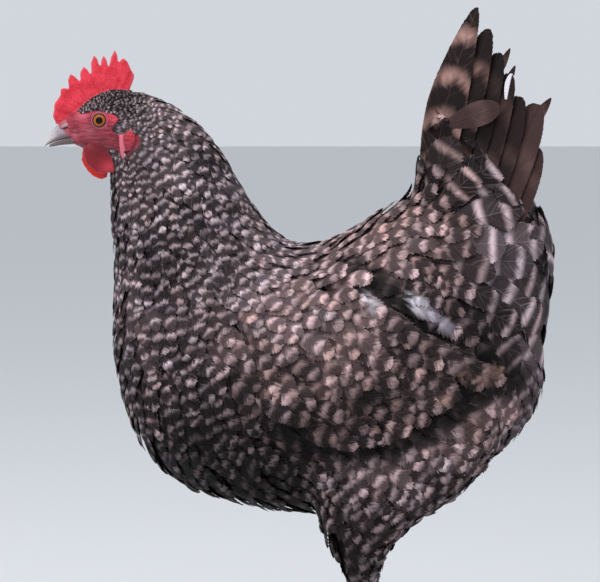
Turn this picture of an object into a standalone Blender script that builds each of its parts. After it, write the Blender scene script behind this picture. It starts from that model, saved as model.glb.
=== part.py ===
# A standing barred hen, life size, as a still museum model.
#
# Frame: metres, +Z up, the floor at z = 0, the bill towards -Y, the hen's left side towards +X.
# The body is swept through slanting sections, each given by the point on the hen's upper line,
# the point on her under line and her half width there, all with the plumage on.
# Head, neck, trunk and tail coverts are lengths of that one sweep, so the outline runs through.

import math

import bmesh
import bpy
from mathutils import Vector
from mathutils.bvhtree import BVHTree

# ---------------------------------------------------------------- driving sizes
GAP = 0.0003                 # clearance between neighbouring pieces
HALF_GAP = GAP / 2

# upper line (y, z), under line (y, z), half width
SECTIONS = (
    (-0.1790, 0.4355, -0.1725, 0.4155, 0.0080),
    (-0.1680, 0.4430, -0.1670, 0.4125, 0.0120),
    (-0.1590, 0.4505, -0.1590, 0.4105, 0.0152),
    (-0.1490, 0.4555, -0.1500, 0.4050, 0.0172),
    (-0.1370, 0.4570, -0.1450, 0.3970, 0.0186),
    (-0.1240, 0.4545, -0.1440, 0.3845, 0.0212),
    (-0.1090, 0.4500, -0.1445, 0.3685, 0.0262),
    (-0.0920, 0.4410, -0.1430, 0.3475, 0.0330),
    (-0.0750, 0.4270, -0.1415, 0.3250, 0.0410),
    (-0.0610, 0.4090, -0.1415, 0.3025, 0.0490),
    (-0.0470, 0.3845, -0.1430, 0.2735, 0.0575),
    (-0.0300, 0.3590, -0.1395, 0.2330, 0.0665),
    (-0.0160, 0.3445, -0.1235, 0.1880, 0.0745),
    (-0.0020, 0.3390, -0.0960, 0.1590, 0.0810),
    (0.0180, 0.3410, -0.0590, 0.1450, 0.0860),
    (0.0350, 0.3490, -0.0140, 0.1360, 0.0890),
    (0.0530, 0.3600, 0.0330, 0.1345, 0.0895),
    (0.0670, 0.3685, 0.0790, 0.1440, 0.0870),
    (0.0780, 0.3745, 0.1220, 0.1640, 0.0810),
    (0.0825, 0.3770, 0.1600, 0.1900, 0.0720),
    (0.0840, 0.3810, 0.1820, 0.2240, 0.0620),
    (0.0862, 0.3890, 0.1840, 0.2620, 0.0540),
    (0.0885, 0.4020, 0.1890, 0.2960, 0.0455),
    (0.0912, 0.4150, 0.1930, 0.3250, 0.0370),
    (0.0950, 0.4280, 0.1880, 0.3510, 0.0285),
    (0.1020, 0.4400, 0.1760, 0.3740, 0.0190),
    (0.1130, 0.4490, 0.1600, 0.3980, 0.0090),
)
HEAD_ENDS = 5.4              # section numbers where one length gives way to the next
NECK_ENDS = 11.3
TRUNK_ENDS = 20.2
BODY_SIDES = 26              # points round a section
SQUARENESS = 2.15            # 2 is an ellipse, more is boxier
HEAD_SQUARENESS = 2.05       # of head and neck

# bill, upper half and lower half: ridge (y, z), edge (y, z), half width
UPPER_BILL = (
    (-0.1770, 0.4350, -0.1735, 0.4203, 0.0072),
    (-0.1812, 0.4331, -0.1785, 0.4193, 0.0068),
    (-0.1855, 0.4292, -0.1842, 0.4178, 0.0058),
    (-0.1893, 0.4248, -0.1890, 0.4160, 0.0044),
    (-0.1922, 0.4206, -0.1925, 0.4146, 0.0029),
    (-0.1941, 0.4166, -0.1944, 0.4135, 0.0013),
    (-0.1948, 0.4135, -0.1950, 0.4122, 0.0005),
)
LOWER_BILL = (
    (-0.1735, 0.4199, -0.1708, 0.4150, 0.0064),
    (-0.1785, 0.4189, -0.1770, 0.4146, 0.0059),
    (-0.1838, 0.4174, -0.1832, 0.4140, 0.0047),
    (-0.1882, 0.4156, -0.1883, 0.4132, 0.0032),
    (-0.1910, 0.4143, -0.1914, 0.4130, 0.0014),
)
BILL_SIDES = 12
BILL_SQUARENESS = 2.3

# single comb: a fan of points about one centre, angle in degrees up from straight back, reach
COMB_CENTRE = (-0.1490, 0.4330)
COMB_POINTS = (
    (184.0, 0.0371), (175.5, 0.0392), (162.0, 0.0399), (150.5, 0.0386), (144.5, 0.0410),
    (139.0, 0.0356), (126.8, 0.0438), (122.5, 0.0341), (111.8, 0.0436), (106.8, 0.0346),
    (99.5, 0.0500), (95.0, 0.0396), (91.0, 0.0488), (85.8, 0.0385), (82.0, 0.0536),
    (76.7, 0.0440), (73.3, 0.0492), (64.0, 0.0436), (57.5, 0.0408), (54.0, 0.0350),
    (51.5, 0.0285),
)
COMB_FLANK_FROM = 0.0050     # flanks longer than this bulge, so that the points are leaf-shaped
COMB_FLANK = 0.66            # share of the flank's rise that is reached half way across it
COMB_FOOT = 0.018            # reach of the comb's root, inside the crown
COMB_FALL = 0.030            # from the root to where the blade is thinnest
COMB_THICK_ROOT = 0.0072
COMB_THICK_EDGE = 0.0020
COMB_LEAN = 0.0022           # how far the comb's edge leans to the hen's right
COMB_RINGS = 2

EYE_CENTRE = (0.0118, -0.1519, 0.4332)
EYE_RADIUS = 0.0066

# hanging flaps of skin: root, length, width, thickness, lean to the rear, lean outwards
WATTLE_LEFT = ((0.0085, -0.1600, 0.4160), 0.0285, 0.0215, 0.0042, 0.60, 0.16)
WATTLE_RIGHT = ((-0.0085, -0.1605, 0.4150), 0.0290, 0.0225, 0.0042, 0.36, -0.12)
LOBE_LEFT = ((0.0210, -0.1352, 0.4225), 0.0188, 0.0046, 0.0036, 0.07, 0.10)

# folded wing: outline (y, z) on the hen's side, from the shoulder over the top to the tip
WING_OUTLINE = (
    (-0.0800, 0.2640), (-0.0660, 0.2940), (-0.0350, 0.3090), (0.0060, 0.3170),
    (0.0430, 0.3150), (0.0770, 0.2980), (0.1060, 0.2730), (0.1400, 0.2350),
    (0.1080, 0.2140), (0.0670, 0.2050), (0.0220, 0.1985), (-0.0240, 0.2010), (-0.0640, 0.2240),
)
WING_CENTRE = (0.0200, 0.2560)
WING_SWELL = 0.0075          # how far the middle stands out from the trunk
WING_LIP = 0.0014            # how far the upper rim stands out
WING_LOWER_LIP = 0.0046      # how far the free lower edge stands out
WING_SPOKES = 32
WING_RINGS = (0.0, 0.50, 0.82, 1.0)
WING_FULLNESS = 2.4          # how far towards its rim the wing stays full
WING_DEPTH = 0.004           # how far the blank reaches into the trunk before it is cut

# thigh with its feathers: front edge (y, z), rear edge (y, z), middle x, half thickness
THIGH = (
    (0.0180, 0.2300, 0.1500, 0.2450, 0.0450, 0.0330),
    (0.0090, 0.2000, 0.1530, 0.2120, 0.0450, 0.0385),
    (0.0060, 0.1740, 0.1440, 0.1830, 0.0440, 0.0385),
    (0.0090, 0.1480, 0.1200, 0.1560, 0.0430, 0.0345),
    (0.0150, 0.1270, 0.0880, 0.1330, 0.0420, 0.0275),
    (0.0230, 0.1090, 0.0660, 0.1120, 0.0412, 0.0195),
    (0.0320, 0.0930, 0.0580, 0.0940, 0.0405, 0.0125),
    (0.0375, 0.0830, 0.0560, 0.0830, 0.0402, 0.0088),
)
THIGH_SIDES = 17
THIGH_SQUARENESS = 2.2

HOCK = (0.0400, 0.0468, 0.0815)          # middle of the hock joint, left leg
ANKLE = (0.0420, 0.0262, 0.0120)         # middle of the shank just above the toes
# shank: share of the way from hock to ankle, radius
SHANK = ((0.0, 0.0076), (0.06, 0.0084), (0.15, 0.0076), (0.32, 0.0060), (0.60, 0.0057),
         (0.82, 0.0064), (1.0, 0.0082))
SHANK_SQUASH = 0.88                      # its width against its depth
SHANK_SIDES = 11
# pad under the foot: depth below the ankle, radius
PAD = ((0.0060, 0.0088), (0.0100, 0.0081), (0.0120, 0.0062))
PAD_AHEAD = 0.0012                       # how far the pad's middle lies ahead of the ankle

# toes of the left foot: name, direction in degrees out from straight ahead, length, root radius,
# tip radius, number of joints, height of the root
TOES = (
    ("toe_inner", -30.0, 0.0450, 0.0052, 0.0036, 3, 0.0068),
    ("toe_middle", 3.0, 0.0600, 0.0056, 0.0037, 4, 0.0072),
    ("toe_outer", 37.0, 0.0480, 0.0050, 0.0034, 4, 0.0066),
    ("toe_back", 198.0, 0.0250, 0.0046, 0.0033, 2, 0.0092),
)
TOE_SIDES = 8
TOE_KNUCKLE = 0.10                       # how much thicker a toe is at its joints
TOE_END = 0.78                           # its end against its tip radius
CLAW_LONG = 0.0135
CLAW_BEND = 0.9                          # radians that the claw turns through
CLAW_RISE = 0.0008                       # how far its root stands above the toe's middle
CLAW_DROP = 0.20                         # how far its point sinks, against its length
CLAW_ROOT = 0.66                         # its root radius against the toe's tip radius
CLAW_POINT = 0.00035                     # radius of its point
CLAW_STEPS = 5
CLAW_SIDES = 6

# main tail feathers of one side, front to back: tip (y, z), width
TAIL_TIPS = (
    (0.1326, 0.5183, 0.0330), (0.1417, 0.5020, 0.0320), (0.1500, 0.4840, 0.0310),
    (0.1577, 0.4682, 0.0310), (0.1655, 0.4510, 0.0310), (0.1790, 0.4454, 0.0310),
    (0.1785, 0.4130, 0.0280),
)
TAIL_ROOT_FRONT = (0.1020, 0.3420)
TAIL_ROOT_BACK = (0.1520, 0.3330)
TAIL_BOW = 0.0125                        # how far the front feather bends forward on its way up
TAIL_THICK = 0.0012
TAIL_TENT = math.radians(27.0)           # how far each feather leans outwards to its rear edge
TAIL_CUP = 0.0016                        # how far its two edges bend inwards
TAIL_STEPS = 7
TAIL_ACROSS = 2
TAIL_FIRST_X = 0.0096
TAIL_STEP = 0.0042                       # most that one shaft stands outside the one before
TAIL_AIR = 0.0009                        # clearance between two feathers


# ---------------------------------------------------------------- helpers
def clear_scene():
    for obj in list(bpy.data.objects):
        bpy.data.objects.remove(obj, do_unlink=True)


def material(name, colour, roughness, metallic=0.0):
    mat = bpy.data.materials.new(name)
    mat.use_nodes = True
    shader = mat.node_tree.nodes["Principled BSDF"]
    shader.inputs["Base Color"].default_value = (*colour, 1.0)
    shader.inputs["Roughness"].default_value = roughness
    shader.inputs["Metallic"].default_value = metallic
    return mat


def solid(name, verts, faces, mat):
    """A closed mesh object with its faces turned outwards."""
    mesh = bpy.data.meshes.new(name)
    mesh.from_pydata([tuple(v) for v in verts], [], faces)
    bm = bmesh.new()
    bm.from_mesh(mesh)
    bmesh.ops.remove_doubles(bm, verts=bm.verts, dist=0.00001)
    bmesh.ops.recalc_face_normals(bm, faces=bm.faces)
    if bm.calc_volume(signed=True) < 0:
        bmesh.ops.reverse_faces(bm, faces=bm.faces)
    bmesh.ops.triangulate(bm, faces=bm.faces)
    bm.to_mesh(mesh)
    bm.free()
    mesh.shade_smooth()
    mesh.set_sharp_from_angle(angle=math.radians(40.0))
    obj = bpy.data.objects.new(name, mesh)
    obj.data.materials.append(mat)
    bpy.context.scene.collection.objects.link(obj)
    return obj


def smooth_row(rows, at):
    """The row at a fractional place in a table, on a smooth curve through its rows."""
    last = len(rows) - 1
    i = max(0, min(last - 1, int(math.floor(at))))
    t = at - i
    a, b, c, d = rows[max(i - 1, 0)], rows[i], rows[i + 1], rows[min(i + 2, last)]
    return [0.5 * (2 * q + (r - p) * t + (2 * p - 5 * q + 4 * r - s) * t * t
                   + (3 * q - p - 3 * r + s) * t * t * t) for p, q, r, s in zip(a, b, c, d)]


def round_off(value, power):
    return math.copysign(abs(value) ** (2.0 / power), value)


def section_ring(row, sides, power, mid_x=0.0, grow=0.0):
    """Points round one slanting section: its upper point, under point and half width."""
    top = Vector((mid_x, row[0], row[1]))
    low = Vector((mid_x, row[2], row[3]))
    half = row[-1] + grow
    centre = (top + low) / 2
    axis = (top - low) / 2
    axis += axis.normalized() * grow
    ring = []
    for k in range(sides):
        turn = 2 * math.pi * k / sides
        up = round_off(math.cos(turn), power)
        out = round_off(math.sin(turn), power)
        ring.append(centre + axis * up + Vector((half * out, 0, 0)))
    return ring


def skin_rings(rings):
    """Faces of a tube through rings of equal count, closed by a flat face at each end."""
    sides = len(rings[0])
    verts = [p for ring in rings for p in ring]
    faces = []
    for i in range(len(rings) - 1):
        for k in range(sides):
            n = (k + 1) % sides
            faces.append((i * sides + k, i * sides + n, (i + 1) * sides + n, (i + 1) * sides + k))
    faces.append(tuple(range(sides - 1, -1, -1)))
    last = (len(rings) - 1) * sides
    faces.append(tuple(range(last, last + sides)))
    return verts, faces


def shift_ring(ring, toward, amount):
    """Move a flat ring along its own normal, towards the side where the given point is."""
    centre = sum(ring, Vector()) / len(ring)
    quarter = len(ring) // 4
    normal = (ring[0] - centre).cross(ring[quarter] - centre).normalized()
    if normal.dot(toward - centre) < 0:
        normal = -normal
    return [p + normal * amount for p in ring]


def body_length(name, first, last, steps, sides, mat, power=SQUARENESS):
    """One length of the hen's body between two section numbers, clear of the next lengths."""
    rings = [section_ring(smooth_row(SECTIONS, first + (last - first) * i / steps), sides, power)
             for i in range(steps + 1)]
    middle = sum((p for ring in rings for p in ring), Vector()) / (sides * len(rings))
    if first > 0:
        rings[0] = shift_ring(rings[0], middle, HALF_GAP)
    if last < len(SECTIONS) - 1:
        rings[-1] = shift_ring(rings[-1], middle, HALF_GAP)
    verts, faces = skin_rings(rings)
    return solid(name, verts, faces, mat)


def swollen_copy(obj, amount):
    """A cutter: the object's own shape, grown outwards on every side."""
    copy = obj.copy()
    copy.data = obj.data.copy()
    copy.name = "cutter_" + obj.name
    bm = bmesh.new()
    bm.from_mesh(copy.data)
    bm.normal_update()
    moved = [v.co + v.normal * amount * v.calc_shell_factor() for v in bm.verts]
    for vert, place in zip(bm.verts, moved):
        vert.co = place
    bm.to_mesh(copy.data)
    bm.free()
    bpy.context.scene.collection.objects.link(copy)
    copy.hide_render = True
    copy.display_type = "WIRE"
    return copy


def cut_away(obj, cutters):
    """Cut the cutters' shapes out of the object and keep its largest body."""
    for cutter in cutters:
        step = obj.modifiers.new("cut_" + cutter.name, "BOOLEAN")
        step.operation = "DIFFERENCE"
        step.solver = "EXACT"
        step.object = cutter
    depsgraph = bpy.context.evaluated_depsgraph_get()
    mesh = bpy.data.meshes.new_from_object(obj.evaluated_get(depsgraph))
    obj.modifiers.clear()
    bm = bmesh.new()
    bm.from_mesh(mesh)
    bmesh.ops.triangulate(bm, faces=bm.faces)
    bmesh.ops.dissolve_degenerate(bm, dist=0.00002, edges=bm.edges)
    keep_largest(bm)
    bm.to_mesh(mesh)
    bm.free()
    old = obj.data
    obj.data = mesh
    bpy.data.meshes.remove(old)


def trim(obj, point, normal):
    """Cut the object along a plane and close it, keeping the side the normal points to."""
    bm = bmesh.new()
    bm.from_mesh(obj.data)
    cut = bmesh.ops.bisect_plane(bm, geom=bm.verts[:] + bm.edges[:] + bm.faces[:],
                                 plane_co=point, plane_no=normal, clear_inner=True)
    edges = [g for g in cut["geom_cut"] if isinstance(g, bmesh.types.BMEdge)]
    if edges:
        bmesh.ops.edgeloop_fill(bm, edges=edges)
    bmesh.ops.recalc_face_normals(bm, faces=bm.faces)
    bm.to_mesh(obj.data)
    bm.free()


def keep_largest(bm):
    left = set(bm.faces)
    groups = []
    while left:
        seed = left.pop()
        group = [seed]
        front = [seed]
        while front:
            face = front.pop()
            for edge in face.edges:
                for other in edge.link_faces:
                    if other in left:
                        left.remove(other)
                        group.append(other)
                        front.append(other)
        groups.append(group)
    groups.sort(key=lambda g: sum(f.calc_area() for f in g), reverse=True)
    spare = [f for group in groups[1:] for f in group]
    if spare:
        bmesh.ops.delete(bm, geom=spare, context="FACES")
        loose = [v for v in bm.verts if not v.link_faces]
        bmesh.ops.delete(bm, geom=loose, context="VERTS")


def mirrored(obj, name):
    """The same piece on the hen's right side."""
    verts = [(-v.co.x, v.co.y, v.co.z) for v in obj.data.vertices]
    faces = [tuple(reversed(p.vertices)) for p in obj.data.polygons]
    return solid(name, verts, faces, obj.data.materials[0])


# ---------------------------------------------------------------- head
def bill_half(name, rows, mat):
    """One half of the bill, with the mouth line as its flat side."""
    rings = []
    steps = len(rows) + 1
    for i in range(steps + 1):
        at = (len(rows) - 1) * i / steps
        rings.append(section_ring(smooth_row(rows, at), BILL_SIDES, BILL_SQUARENESS))
    verts, faces = skin_rings(rings)
    return solid(name, verts, faces, mat)


def comb_columns():
    """The comb's points and hollows, with one more column half way up each long flank."""
    columns = [COMB_POINTS[0]]
    for (angle_before, reach_before), (angle, reach) in zip(COMB_POINTS, COMB_POINTS[1:]):
        low = min(reach_before, reach)
        rise = abs(reach - reach_before)
        if rise > COMB_FLANK_FROM:
            columns.append(((angle_before + angle) / 2, low + COMB_FLANK * rise))
        columns.append((angle, reach))
    return columns


def comb(mat):
    """A flat fan of columns from the comb's root out to its notched edge."""
    cy, cz = COMB_CENTRE
    columns = comb_columns()
    left = []
    right = []
    for angle, reach in columns:
        way = (math.cos(math.radians(angle)), math.sin(math.radians(angle)))
        for i in range(COMB_RINGS + 1):
            t = i / COMB_RINGS
            r = COMB_FOOT + (reach - COMB_FOOT) * t
            fall = min(1.0, (r - COMB_FOOT) / COMB_FALL)
            half = (COMB_THICK_ROOT + (COMB_THICK_EDGE - COMB_THICK_ROOT) * fall ** 0.6) / 2
            lean = COMB_LEAN * fall * fall
            left.append(Vector((half - lean, cy + way[0] * r, cz + way[1] * r)))
            right.append(Vector((-half - lean, cy + way[0] * r, cz + way[1] * r)))
    count = COMB_RINGS + 1
    total = len(left)
    verts = left + right
    faces = []
    last = len(columns) - 1
    for c in range(last):
        for i in range(COMB_RINGS):
            a = c * count + i
            quad = (a, a + 1, a + count + 1, a + count)
            faces.append(quad)
            faces.append(tuple(total + q for q in reversed(quad)))
        top = c * count + COMB_RINGS
        faces.append((top, total + top, total + top + count, top + count))
        foot = c * count
        faces.append((foot, foot + count, total + foot + count, total + foot))
    for i in range(COMB_RINGS):
        a = i
        faces.append((a, total + a, total + a + 1, a + 1))
        b = last * count + i
        faces.append((b, b + 1, total + b + 1, total + b))
    return solid("comb", verts, faces, mat)


def hanging_flap(name, sizes, mat, sides, rings):
    """A hanging flap of skin: narrow where it grows, round and thin at its lower edge."""
    root, length, width, thick, tilt, lean = sizes
    down = Vector((math.sin(lean), math.sin(tilt), -math.cos(tilt))).normalized()
    across = Vector((0, 1, 0))
    across = (across - down * across.dot(down)).normalized()
    out = across.cross(down).normalized()
    loops = []
    for i in range(rings + 1):
        t = 0.02 + 0.96 * i / rings
        full = math.sqrt(max(0.0, 1 - (1.45 * t - 0.45) ** 2 / 1.0)) if t > 0.31 else 0.55 + 1.45 * t
        wide = width / 2 * min(1.0, full)
        deep = thick / 2 * (0.75 + 0.25 * math.cos(math.pi * t)) * min(1.0, full + 0.25)
        centre = Vector(root) + down * length * t
        loops.append([centre + across * wide * math.cos(2 * math.pi * k / sides)
                      + out * deep * math.sin(2 * math.pi * k / sides) for k in range(sides)])
    verts, faces = skin_rings(loops)
    return solid(name, verts, faces, mat)


def ball(name, centre, radius, mat, segments=12, rings=8):
    bm = bmesh.new()
    bmesh.ops.create_uvsphere(bm, u_segments=segments, v_segments=rings, radius=radius)
    for v in bm.verts:
        v.co = Vector((v.co.z, v.co.x, v.co.y)) + Vector(centre)
    verts = [v.co.copy() for v in bm.verts]
    faces = [tuple(v.index for v in f.verts) for f in bm.faces]
    bm.free()
    return solid(name, verts, faces, mat)


# ---------------------------------------------------------------- wing and thigh
def wing_blank(trunk, mat):
    """The folded wing as a shield that follows the trunk's side and stands out from it."""
    tree = BVHTree.FromObject(trunk, bpy.context.evaluated_depsgraph_get())
    cy, cz = WING_CENTRE
    count = len(WING_OUTLINE)
    outer = []
    rim_low = min(p[1] for p in WING_OUTLINE)
    for k in range(WING_SPOKES):
        at = count * k / WING_SPOKES
        i = int(at)
        t = at - i
        rows = [WING_OUTLINE[(i + j - 1) % count] for j in range(4)]
        edge = smooth_row(rows, 1 + t)
        for reach in WING_RINGS[1:]:
            y = cy + (edge[0] - cy) * reach
            z = cz + (edge[1] - cz) * reach
            outer.append((y, z, reach))
    points = [(cy, cz, 0.0)] + outer
    out_verts = []
    in_verts = []
    for y, z, reach in points:
        hit, normal, _, _ = tree.ray_cast(Vector((0.3, y, z)), Vector((-1, 0, 0)))
        normal = Vector((normal.x, normal.y * 0.6, normal.z * 0.6)).normalized()
        low = max(0.0, min(1.0, (cz - z) / (cz - rim_low))) ** 1.5
        lip = WING_LIP + (WING_LOWER_LIP - WING_LIP) * low
        swell = lip + (WING_SWELL - lip) * (1 - reach ** WING_FULLNESS)
        out_verts.append(hit + normal * swell)
        in_verts.append(hit - normal * WING_DEPTH)
    verts = out_verts + in_verts
    total = len(out_verts)
    per = len(WING_RINGS) - 1
    faces = []
    for k in range(WING_SPOKES):
        n = (k + 1) % WING_SPOKES
        a = 1 + k * per
        b = 1 + n * per
        faces.append((0, a, b))
        faces.append((total, total + b, total + a))
        for i in range(per - 1):
            faces.append((a + i, a + i + 1, b + i + 1, b + i))
            faces.append((total + a + i, total + b + i, total + b + i + 1, total + a + i + 1))
        faces.append((a + per - 1, total + a + per - 1, total + b + per - 1, b + per - 1))
    return solid("wing_left", verts, faces, mat)


def thigh_blank(mat):
    rings = []
    for i in range(len(THIGH) + 2):
        row = smooth_row(THIGH, (len(THIGH) - 1) * i / (len(THIGH) + 1))
        rings.append(section_ring(row, THIGH_SIDES, THIGH_SQUARENESS, mid_x=row[4]))
    verts, faces = skin_rings(rings)
    return solid("thigh_left", verts, faces, mat)


# ---------------------------------------------------------------- shank and foot
def limb_ring(centre, axis, radius, sides, squash=1.0):
    axis = axis.normalized()
    side = Vector((1, 0, 0))
    side = (side - axis * side.dot(axis)).normalized()
    front = axis.cross(side).normalized()
    return [centre + side * radius * squash * math.cos(2 * math.pi * k / sides)
            + front * radius * math.sin(2 * math.pi * k / sides) for k in range(sides)]


def shank_left(mat):
    """Hock joint, shank and the pad under the foot, with its flat on the floor."""
    top = Vector(HOCK)
    foot = Vector(ANKLE)
    run = foot - top
    rings = []
    for t, radius in SHANK:
        rings.append(limb_ring(top + run * t, run, radius, SHANK_SIDES, SHANK_SQUASH))
    for depth, radius in PAD:
        rings.append(limb_ring(foot + Vector((0, -PAD_AHEAD, -depth)), Vector((0, 0, -1)),
                               radius, SHANK_SIDES))
    verts, faces = skin_rings(rings)
    return solid("shank_left", verts, faces, mat)


def toe_path(direction, length, root_radius, height, t):
    """The middle line of a toe, from inside the pad to its last joint, resting on the floor."""
    turn = math.radians(direction)
    way = Vector((math.sin(turn), -math.cos(turn), 0))
    start = Vector((ANKLE[0], ANKLE[1] - PAD_AHEAD, 0))
    drop = (1 - min(1.0, t * 2.2)) ** 2
    tip_height = root_radius * 0.72
    return start + way * length * t + Vector((0, 0, tip_height + (height - tip_height) * drop))


def toe(spec, mat):
    """A jointed toe whose pads are cut flat by the floor."""
    name, direction, length, root_radius, tip_radius, joints, height = spec
    rings = []
    steps = joints * 2
    for i in range(steps + 1):
        t = i / steps
        centre = toe_path(direction, length, root_radius, height, t)
        ahead = toe_path(direction, length, root_radius, height, min(1.0, t + 0.02))
        behind = toe_path(direction, length, root_radius, height, max(0.0, t - 0.02))
        knuckle = 1 + TOE_KNUCKLE * math.cos(2 * math.pi * t * joints)
        radius = (root_radius + (tip_radius - root_radius) * t) * knuckle
        if i == steps:
            radius *= TOE_END
        axis = ahead - behind
        side = Vector((axis.y, -axis.x, 0)).normalized()
        up = side.cross(axis).normalized()
        if up.z < 0:
            up = -up
        ring = []
        for k in range(TOE_SIDES):
            a = 2 * math.pi * (k + 0.5) / TOE_SIDES
            p = centre + side * radius * math.cos(a) + up * radius * math.sin(a)
            p.z = max(p.z, 0.0)
            ring.append(p)
        rings.append(ring)
    verts, faces = skin_rings(rings)
    return solid(name + "_left", verts, faces, mat)


def part_toes(obj, from_angle, to_angle):
    """Trim a toe's root to its own share of the foot, between its two neighbours."""
    for angle, sign in ((from_angle, 1.0), (to_angle, -1.0)):
        turn = math.radians(angle)
        normal = Vector((math.cos(turn), math.sin(turn), 0)) * sign
        centre = Vector((ANKLE[0], ANKLE[1] - PAD_AHEAD, 0))
        trim(obj, centre + normal * HALF_GAP, normal)


def claw(spec, mat):
    """A curved claw that grows from the end of a toe and stays clear of the floor."""
    name, direction, length, root_radius, tip_radius, joints, height = spec
    turn = math.radians(direction)
    way = Vector((math.sin(turn), -math.cos(turn), 0))
    root = toe_path(direction, length, root_radius, height, 1.0)
    side = Vector((way.y, -way.x, 0))
    rings = []
    for i in range(CLAW_STEPS + 1):
        t = i / CLAW_STEPS
        bend = CLAW_BEND * t
        centre = root + way * (GAP + CLAW_LONG * math.sin(bend) / CLAW_BEND)
        centre.z += CLAW_RISE * (1 + math.sin(math.pi * t)) - CLAW_LONG * CLAW_DROP * t * t
        radius = tip_radius * CLAW_ROOT * (1 - t) ** 0.7 + CLAW_POINT
        axis = (way * math.cos(bend) - Vector((0, 0, 0.4)) * t).normalized()
        up = side.cross(axis).normalized()
        if up.z < 0:
            up = -up
        rings.append([centre + side * radius * 0.8 * math.cos(2 * math.pi * k / CLAW_SIDES)
                      + up * radius * math.sin(2 * math.pi * k / CLAW_SIDES)
                      for k in range(CLAW_SIDES)])
    verts, faces = skin_rings(rings)
    return solid(name.replace("toe", "claw") + "_left", verts, faces, mat)


# ---------------------------------------------------------------- tail
def tail_shaft(number, t):
    """The feather's middle line in the hen's own plane, and its direction there."""
    share = number / (len(TAIL_TIPS) - 1)
    root = Vector((0, TAIL_ROOT_FRONT[0] + (TAIL_ROOT_BACK[0] - TAIL_ROOT_FRONT[0]) * share,
                   TAIL_ROOT_FRONT[1] + (TAIL_ROOT_BACK[1] - TAIL_ROOT_FRONT[1]) * share))
    run = Vector((0, TAIL_TIPS[number][0], TAIL_TIPS[number][1])) - root
    sweep = Vector((0, -run.z, run.y)).normalized()
    bow = TAIL_BOW * (1 - 0.6 * share)
    place = root + run * t + sweep * bow * math.sin(math.pi * t) * (1 - 0.25 * t)
    ahead = run.normalized() + sweep * (bow / run.length) * math.pi * math.cos(math.pi * t)
    return place, ahead.normalized()


def tail_out(number, t):
    """How far the feather's shaft stands out sideways, so that it lies under the one in front."""
    if number == 0:
        return TAIL_FIRST_X + 0.0030 * (1 - t)
    place, _ = tail_shaft(number, t)
    start, _ = tail_shaft(number - 1, 0)
    end, _ = tail_shaft(number - 1, 1)
    level = (place - start).dot(end - start) / (end - start).length_squared
    here, ahead = tail_shaft(number - 1, level)
    apart = (place - here).cross(ahead).length
    bend = TAIL_CUP * min(1.0, apart / 0.015) ** 2
    step = apart * math.sin(TAIL_TENT) - bend - TAIL_THICK / math.cos(TAIL_TENT) - TAIL_AIR
    return tail_out(number - 1, level) + min(TAIL_STEP, step)


def tail_feather(number, mat):
    """One main tail feather of the left side: a thin cupped blade with a rounded tip."""
    width = TAIL_TIPS[number][2]
    grid = []
    for i in range(TAIL_STEPS + 1):
        t = i / TAIL_STEPS
        centre, ahead = tail_shaft(number, t)
        back = Vector((0, ahead.z, -ahead.y))
        if back.y < 0:
            back = -back
        across = back * math.cos(TAIL_TENT) + Vector((math.sin(TAIL_TENT), 0, 0))
        centre.x = tail_out(number, t)
        half = width / 2
        if t < 0.45:
            half *= 0.40 + 0.60 * math.sin(math.pi / 2 * t / 0.45)
        if t > 0.76:
            q = (t - 0.76) / 0.24
            half *= math.sqrt(max(0.0, 1 - q ** 2.6)) * 0.93 + 0.07
        normal = across.cross(ahead).normalized()
        if normal.x < 0:
            normal = -normal
        row_out = []
        row_in = []
        for j in range(TAIL_ACROSS + 1):
            s = 2 * j / TAIL_ACROSS - 1
            cup = -TAIL_CUP * s * s * (half / 0.015)
            p = centre + across * half * s + normal * cup
            row_out.append(p + normal * TAIL_THICK / 2)
            row_in.append(p - normal * TAIL_THICK / 2)
        grid.append(row_out + row_in[::-1])
    verts, faces = skin_rings(grid)
    return solid("tail_feather_%d_left" % (number + 1), verts, faces, mat)


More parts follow.
